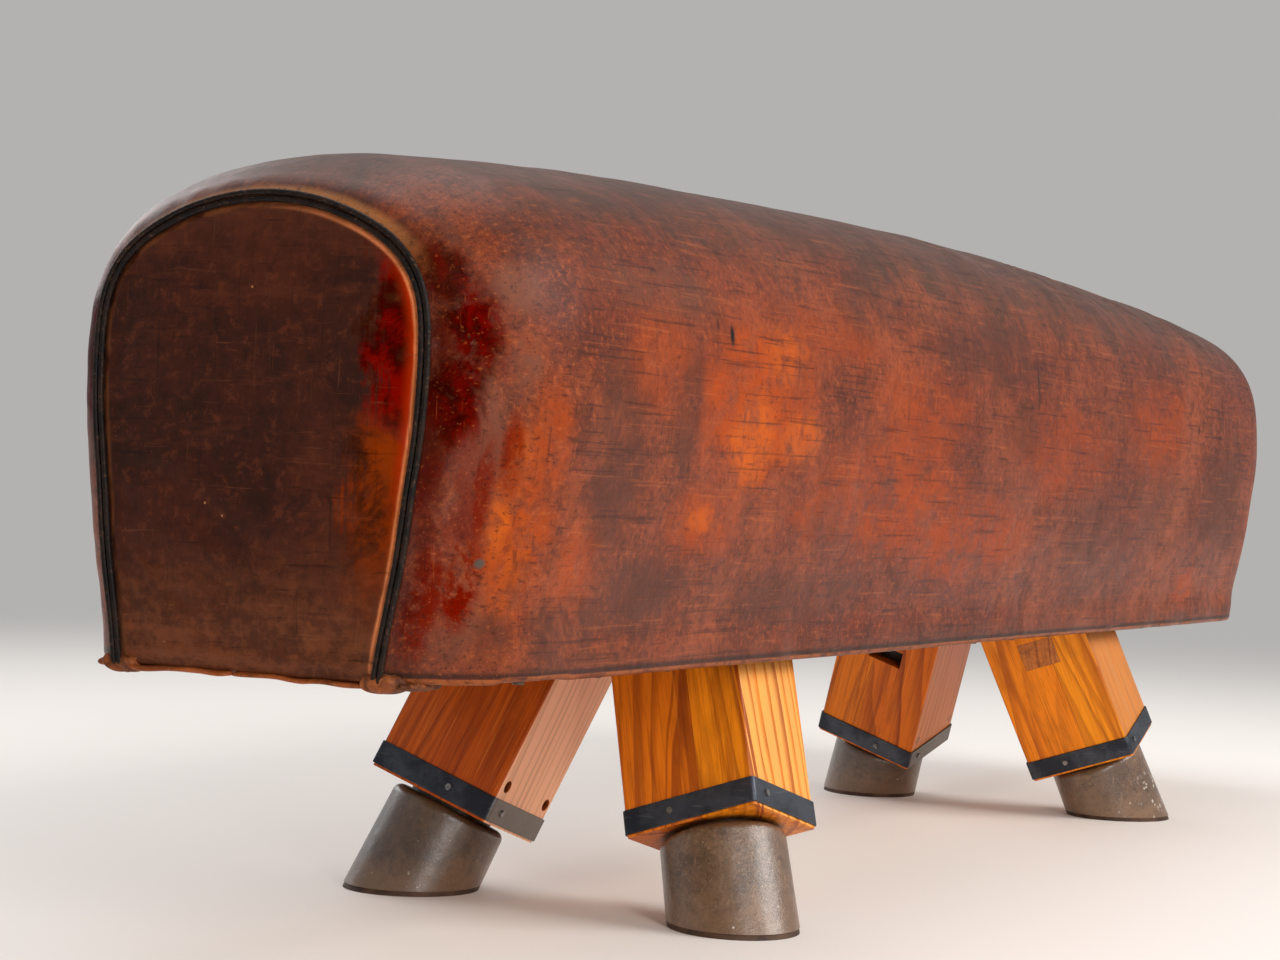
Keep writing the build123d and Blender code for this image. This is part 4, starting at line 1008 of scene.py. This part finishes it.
def panel(sgn, name):
    rim = full_outline(inset(half_section(sgn * END_X), 4.3))
    nu, nv = 75, 85
    G = coons(rim, nu, nv)
    pts = np.zeros((nu, nv, 3))
    pts[:, :, 0] = sgn * (END_X - 0.5)
    pts[:, :, 1:] = G
    flat = pts.reshape(-1, 3)
    ring = even(rim, 400)
    ring = np.concatenate([ring, np.stack([np.linspace(ring[-1, 0], ring[0, 0], 100), np.linspace(ring[-1, 1], ring[0, 1], 100)], 1)])
    dist = np.min(np.linalg.norm(flat[:, None, 1:] - ring[None], axis=2), axis=1)
    arch_only = np.min(np.linalg.norm(flat[:, None, 1:] - even(rim, 400)[None], axis=2), axis=1)
    billow = np.zeros(len(flat))
    ob = make_mesh("tmp_" + name, flat, grid_faces(nu, nv), body=None)
    rim_ids = [i for i in range(len(flat)) if (i // nv in (0, nu - 1)) or (i % nv in (0, nv - 1))]
    vg = ob.vertex_groups.new(name="pin")
    vg.add(rim_ids, 1.0, "REPLACE")
    cl = ob.modifiers.new("cloth", "CLOTH")
    cs = cl.settings
    cs.quality = 6
    cs.mass = 0.6
    cs.tension_stiffness = cs.compression_stiffness = 40
    cs.shear_stiffness = 30
    cs.bending_stiffness = 4
    cs.use_pressure = True
    cs.uniform_pressure_force = 4.0 * (1 if ob.data.polygons[0].normal.x * sgn > 0 else -1)
    cs.vertex_group_mass = "pin"
    cs.shrink_min = -0.008
    cs.effector_weights.gravity = 0
    cl.collision_settings.use_collision = False
    sc = bpy.context.scene
    for f in range(1, 21):
        sc.frame_set(f)
    dg = bpy.context.evaluated_depsgraph_get()
    me = ob.evaluated_get(dg).data
    co = np.zeros(len(flat) * 3)
    me.vertices.foreach_get("co", co)
    moved = co.reshape(-1, 3) * 1000 - flat
    billow = moved[:, 0] * sgn
    print("panel", name, "billow mm", round(float(billow.min()), 2), round(float(billow.max()), 2))
    sc.frame_set(1)
    bpy.data.objects.remove(ob)
    billow = np.clip(billow, 0.0, None)
    if billow.max() > 0:
        billow = billow * min(1.0, 7.0 / billow.max()) if billow.max() > 7.0 else billow * (7.0 / max(billow.max(), 2.0))
    yy, zz = flat[:, 1], flat[:, 2]
    det = 0.8 * fbm(yy / 70.0 + 2 + sgn, zz / 60.0 + 4, 17, 3) * smooth(dist, 3, 30)
    det += 0.35 * np.sin((yy + zz) / 6.5 + 3 * vnoise(yy / 40.0, zz / 40.0, 23)) * np.exp(-arch_only / 9.0)
    det += 2.0 * np.exp(-((dist - 8.5) / 3.6) ** 2) - 1.2 * np.exp(-(dist / 4.0) ** 2)
    flat[:, 0] += sgn * (billow + det)
    pts = flat.reshape(nu, nv, 3)
    # bottom edge rolls under the board
    extra = []
    for a in (0.35, 0.7, 1.0):
        t = a * math.pi / 2
        row = pts[:, 0].copy()
        row[:, 0] -= sgn * 4.5 * (1 - math.cos(t))
        row[:, 2] -= 3.0 * math.sin(t) - 0.6
        extra.append(row)
    row0 = extra[-1].copy()
    for k in range(1, 6):
        row = row0.copy()
        row[:, 0] -= sgn * (30.0 + 1.5 * np.sin(row[:, 1] * 0.09)) * k / 5.0
        row[:, 1] *= 1.0 - 0.12 * k / 5.0
        row[:, 2] += 0.35 * np.sin(row[:, 1] * 0.11 + k) * k / 5.0 + 0.10 * k
        extra.append(row)
    strip = np.stack(extra[::-1], 1)
    full = np.concatenate([strip, pts], 1)
    n2 = full.shape[1]
    at = np.concatenate([np.zeros((nu, strip.shape[1])) + 40.0, arch_only.reshape(nu, nv)], 1)
    ob = make_mesh("end_panel_hide_" + name, full.reshape(-1, 3), grid_faces(nu, n2), attributes={"edge": at.ravel()})
    if ob.data.polygons[(nu // 2) * (n2 - 1) + n2 // 2].normal.x * sgn < 0:
        ob.data.flip_normals()
    ob.data.materials.append(END)
    sub = ob.modifiers.new("sub", "SUBSURF")
    sub.levels = sub.render_levels = 1
    so = ob.modifiers.new("thickness", "SOLIDIFY")
    so.thickness = 0.0024
    so.offset = -1.0
    apply_modifiers(ob)
    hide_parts("end_panel_" + name, "hem_strip_" + name)
    return ob


panel(-1, "left")
panel(1, "right")

# ---------------------------------------------------------------------------
# double piping, with its tails tucked beneath the corners
# ---------------------------------------------------------------------------
for sgn, name in ((-1, "left"), (1, "right")):
    for which, d, seed in (("outer", 2.1, 3), ("inner", 6.4, 8)):
        line = even(full_outline(inset(half_section(sgn * END_X), d)), 460)
        path = np.zeros((len(line), 3))
        path[:, 0] = sgn * (END_X + 2.7)
        path[:, 1:] = line
        s = np.arange(len(line)) * 1.0
        path[:, 0] += 0.25 * vnoise(s / 17.0, s * 0, seed)
        path[:, 1] += 0.22 * vnoise(s / 21.0, s * 0 + 1, seed + 1)
        tails = []
        for end_pt, sg in ((path[0], -1), (path[-1], 1)):
            tails.append([end_pt + np.array([-sgn * 0.8, 0.0, -0.8]), end_pt + np.array([-sgn * 3.0, 0.0, -1.6]),
                          end_pt + np.array([-sgn * 6.0, 0.0, -1.4]), end_pt + np.array([-sgn * 9.0, 0.0, -0.4])])
        path = np.concatenate([np.array(tails[0])[::-1], path, np.array(tails[1])])
        n = len(path)
        idx = np.arange(n)
        seg = 14
        ridge = np.array([[0.05 * math.sin(2 * math.pi * (i / 3.2 + k / seg)) for k in range(seg)] for i in range(n)])
        rad = 1.95 * (1 + 0.05 * vnoise(idx / 9.0, idx * 0 + 2, seed + 2))
        ob = tube("piping_cord_%s_%s" % (which, name), path, rad, seg, lump=ridge)
        ob.data.materials.append(CORD)
        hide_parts("piping_%s_%s" % (which, name))

# ---------------------------------------------------------------------------
# folded leather at the four lower corners
# ---------------------------------------------------------------------------
def lump(name, centre, radii, seed, pleats, material):
    """A pinched lump of folded hide: a closed blob with pleats that gather towards the corner."""
    nu, nv = 40, 64
    verts, faces_ = [], []
    for i in range(1, nu):
        a = math.pi * i / nu
        for k in range(nv):
            w = 2 * math.pi * k / nv
            d = np.array([math.sin(a) * math.cos(w), math.sin(a) * math.sin(w), math.cos(a)])
            sq = np.sign(d) * np.abs(d) ** 0.8
            q = 1 + 0.07 * math.sin(pleats * w + 2.4 * d[2] + seed) * abs(math.sin(a)) + 0.06 * math.sin(5 * d[0] + 4 * d[1] + seed * 2)
            verts.append(np.array(centre) + sq * np.array(radii) * q)
    for i in range(nu - 2):
        for k in range(nv):
            k2 = (k + 1) % nv
            faces_.append((i * nv + k, (i + 1) * nv + k, (i + 1) * nv + k2, i * nv + k2))
    verts.append(np.array(centre) + np.array([0, 0, radii[2]]))
    verts.append(np.array(centre) - np.array([0, 0, radii[2]]))
    t, b = len(verts) - 2, len(verts) - 1
    for k in range(nv):
        k2 = (k + 1) % nv
        faces_.append((t, k, k2))
        faces_.append((b, (nu - 2) * nv + k2, (nu - 2) * nv + k))
    ob = make_mesh(name, verts, faces_)
    ob.data.materials.append(material)
    return ob


def flap(name, sx, y0, y1, seed, drop=1.0):
    """A strip of hide turned under the end board: a flat closed strip with a wavy lower edge."""
    ny, nk = 60, 20
    verts, faces_ = [], []
    for i in range(ny):
        f = i / (ny - 1)
        y = y0 + (y1 - y0) * f
        env = min(1.0, math.sin(math.pi * f) * 6.0 + 0.25)
        x_mid = 878.0 + 0.8 * math.sin(y * 0.10 + seed)
        z_mid = 194.9 + 0.5 * math.sin(y * 0.055 + seed) + 0.25 * math.sin(y * 0.21)
        for k in range(nk):
            w = 2 * math.pi * k / nk
            cx, cz = math.cos(w), math.sin(w)
            rx = 12.5 * (abs(cx) ** 0.7) * (1 if cx > 0 else -1)
            rz = (2.1 * drop) * (abs(cz) ** 0.8) * (1 if cz > 0 else -1) * (0.7 + 0.3 * env)
            verts.append((sx * (x_mid + rx), y + 0.8 * cz * math.sin(y * 0.3), z_mid + rz + 0.5 * math.sin(y * 0.13 + 2 * cx + seed)))
    for i in range(ny - 1):
        for k in range(nk):
            k2 = (k + 1) % nk
            faces_.append((i * nk + k, (i + 1) * nk + k, (i + 1) * nk + k2, i * nk + k2))
    faces_.append(tuple(range(nk)))
    faces_.append(tuple((ny - 1) * nk + k for k in range(nk))[::-1])
    ob = make_mesh(name, verts, faces_)
    import bmesh
    bm = bmesh.new()
    bm.from_mesh(ob.data)
    bmesh.ops.recalc_face_normals(bm, faces=bm.faces)
    bm.to_mesh(ob.data)
    bm.free()
    ob.data.materials.append(HEM)
    return ob


FOLD = mat_leather_fold()
for k, (sx, sy) in enumerate(((-1, -1), (-1, 1), (1, -1), (1, 1))):
    lump("corner_fold_%d" % (k + 1), (sx * 882.0, sy * 99.0, 197.2), (12.5, 14.0, 6.6), 1.3 * k + 0.4, 7, FOLD)
    lump("corner_tuck_%d" % (k + 1), (sx * 868.0, sy * 111.0, 196.0), (22.0, 11.0, 3.2), 2.1 * k + 1.7, 11, FOLD)
for sx, name in ((-1, "left"), (1, "right")):
    flap("end_flap_a_" + name, sx, 96.0, 13.5, 0.7 + sx)
    flap("end_flap_b_" + name, sx, 9.5, -94.0, 2.9 + sx, 0.9)

# ---------------------------------------------------------------------------
# floor, light and camera
# ---------------------------------------------------------------------------
GREY = C(180, 178, 176)
me = bpy.data.meshes.new("floor")
ring = [(14 * math.cos(2 * math.pi * i / 96), 14 * math.sin(2 * math.pi * i / 96), 0.0) for i in range(96)]
me.from_pydata(ring, [], [tuple(range(96))])
floor = bpy.data.objects.new("floor", me)
bpy.context.scene.collection.objects.link(floor)
floor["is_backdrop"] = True
# the floor lies under the lowest foot: it follows whichever leg is drawn out furthest
drop = floor.driver_add("location", 2).driver
drop.type = "MIN"
for key in LEGS:
    v = drop.variables.new()
    v.name = "drop_" + key
    v.type = "TRANSFORMS"
    v.targets[0].id = frame["bodies"]["leg_" + key]
    v.targets[0].transform_type = "LOC_Z"
    v.targets[0].transform_space = "WORLD_SPACE"
g = Mat("floor_pale")
r = g.vmath("LENGTH", g.scaled(g.p, (0.62, 1.0, 1.0)), out=1)
pb = g.node("ShaderNodeBsdfPrincipled")
pb.inputs["Base Color"].default_value = C(248, 242, 236)
pb.inputs["Roughness"].default_value = 0.55
pb.inputs["Specular IOR Level"].default_value = 0.25
em = g.node("ShaderNodeEmission")
em.inputs[0].default_value = GREY
mx = g.node("ShaderNodeMixShader")
g.put(mx.inputs[0], g.mul(g.span(r, 0.75, 3.2), g.node("ShaderNodeLightPath").outputs["Is Camera Ray"]))
g.t.links.new(pb.outputs[0], mx.inputs[1])
g.t.links.new(em.outputs[0], mx.inputs[2])
g.t.links.new(mx.outputs[0], g.out.inputs[0])
me.materials.append(g.m)

world = bpy.data.worlds.new("studio")
bpy.context.scene.world = world
world.use_nodes = True
wt = world.node_tree
wt.nodes.clear()
wo = wt.nodes.new("ShaderNodeOutputWorld")
bg_cam = wt.nodes.new("ShaderNodeBackground")
bg_cam.inputs[0].default_value = GREY
bg_fill = wt.nodes.new("ShaderNodeBackground")
bg_fill.inputs[0].default_value = (0.50, 0.50, 0.51, 1)
bg_fill.inputs[1].default_value = 0.85
lp = wt.nodes.new("ShaderNodeLightPath")
mxw = wt.nodes.new("ShaderNodeMixShader")
wt.links.new(lp.outputs["Is Camera Ray"], mxw.inputs[0])
wt.links.new(bg_fill.outputs[0], mxw.inputs[1])
wt.links.new(bg_cam.outputs[0], mxw.inputs[2])
wt.links.new(mxw.outputs[0], wo.inputs[0])


def area(name, loc, target, size, power, size_y=None, colour=(1, 1, 1)):
    d = bpy.data.lights.new(name, "AREA")
    d.shape = "RECTANGLE"
    d.size = size
    d.size_y = size_y or size
    d.energy = power
    d.color = colour
    o = bpy.data.objects.new(name, d)
    o.location = loc
    o.rotation_euler = (Vector(target) - Vector(loc)).to_track_quat("-Z", "Y").to_euler()
    bpy.context.scene.collection.objects.link(o)
    o.visible_camera = False
    return o


area("key_front_left", (-2.6, -2.9, 1.9), (-0.4, 0.0, 0.3), 1.1, 30, 1.5, (1.0, 0.985, 0.96))
area("strip_low", (-2.5, -2.35, 0.75), (-0.3, 0.0, 0.2), 0.34, 24, 1.4, (1.0, 0.985, 0.97))
area("key_front_right", (0.7, -3.2, 2.3), (0.0, 0.0, 0.3), 2.4, 98, 1.8, (1.0, 0.985, 0.96))
area("top_soft", (0.3, 0.6, 3.2), (0.0, 0.0, 0.4), 2.4, 34, 2.4)
area("back_fill", (1.0, 3.2, 1.8), (0.0, 0.0, 0.3), 2.4, 34, 1.8)

cam_data = bpy.data.cameras.new("camera")
cam = bpy.data.objects.new("camera", cam_data)
bpy.context.scene.collection.objects.link(cam)
Rm = Matrix(((0.465005, -0.022246, -0.885029), (-0.884289, 0.036284, -0.465528), (0.042468, 0.999094, -0.0028)))
cam.matrix_world = Matrix.Translation((-2.24240, -0.98290, 0.32241)) @ Rm.to_4x4()
cam_data.lens = 74.806
cam_data.sensor_width = 36.0
cam_data.clip_start = 0.05
bpy.context.scene.camera = cam
bpy.context.scene.view_settings.view_transform = "Standard"

plain = lambda b: [[float(v) for v in b[0]], [float(v) for v in b[1]]]
{"cad": plain(BOUNDS_CAD), "visual": plain(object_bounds())}
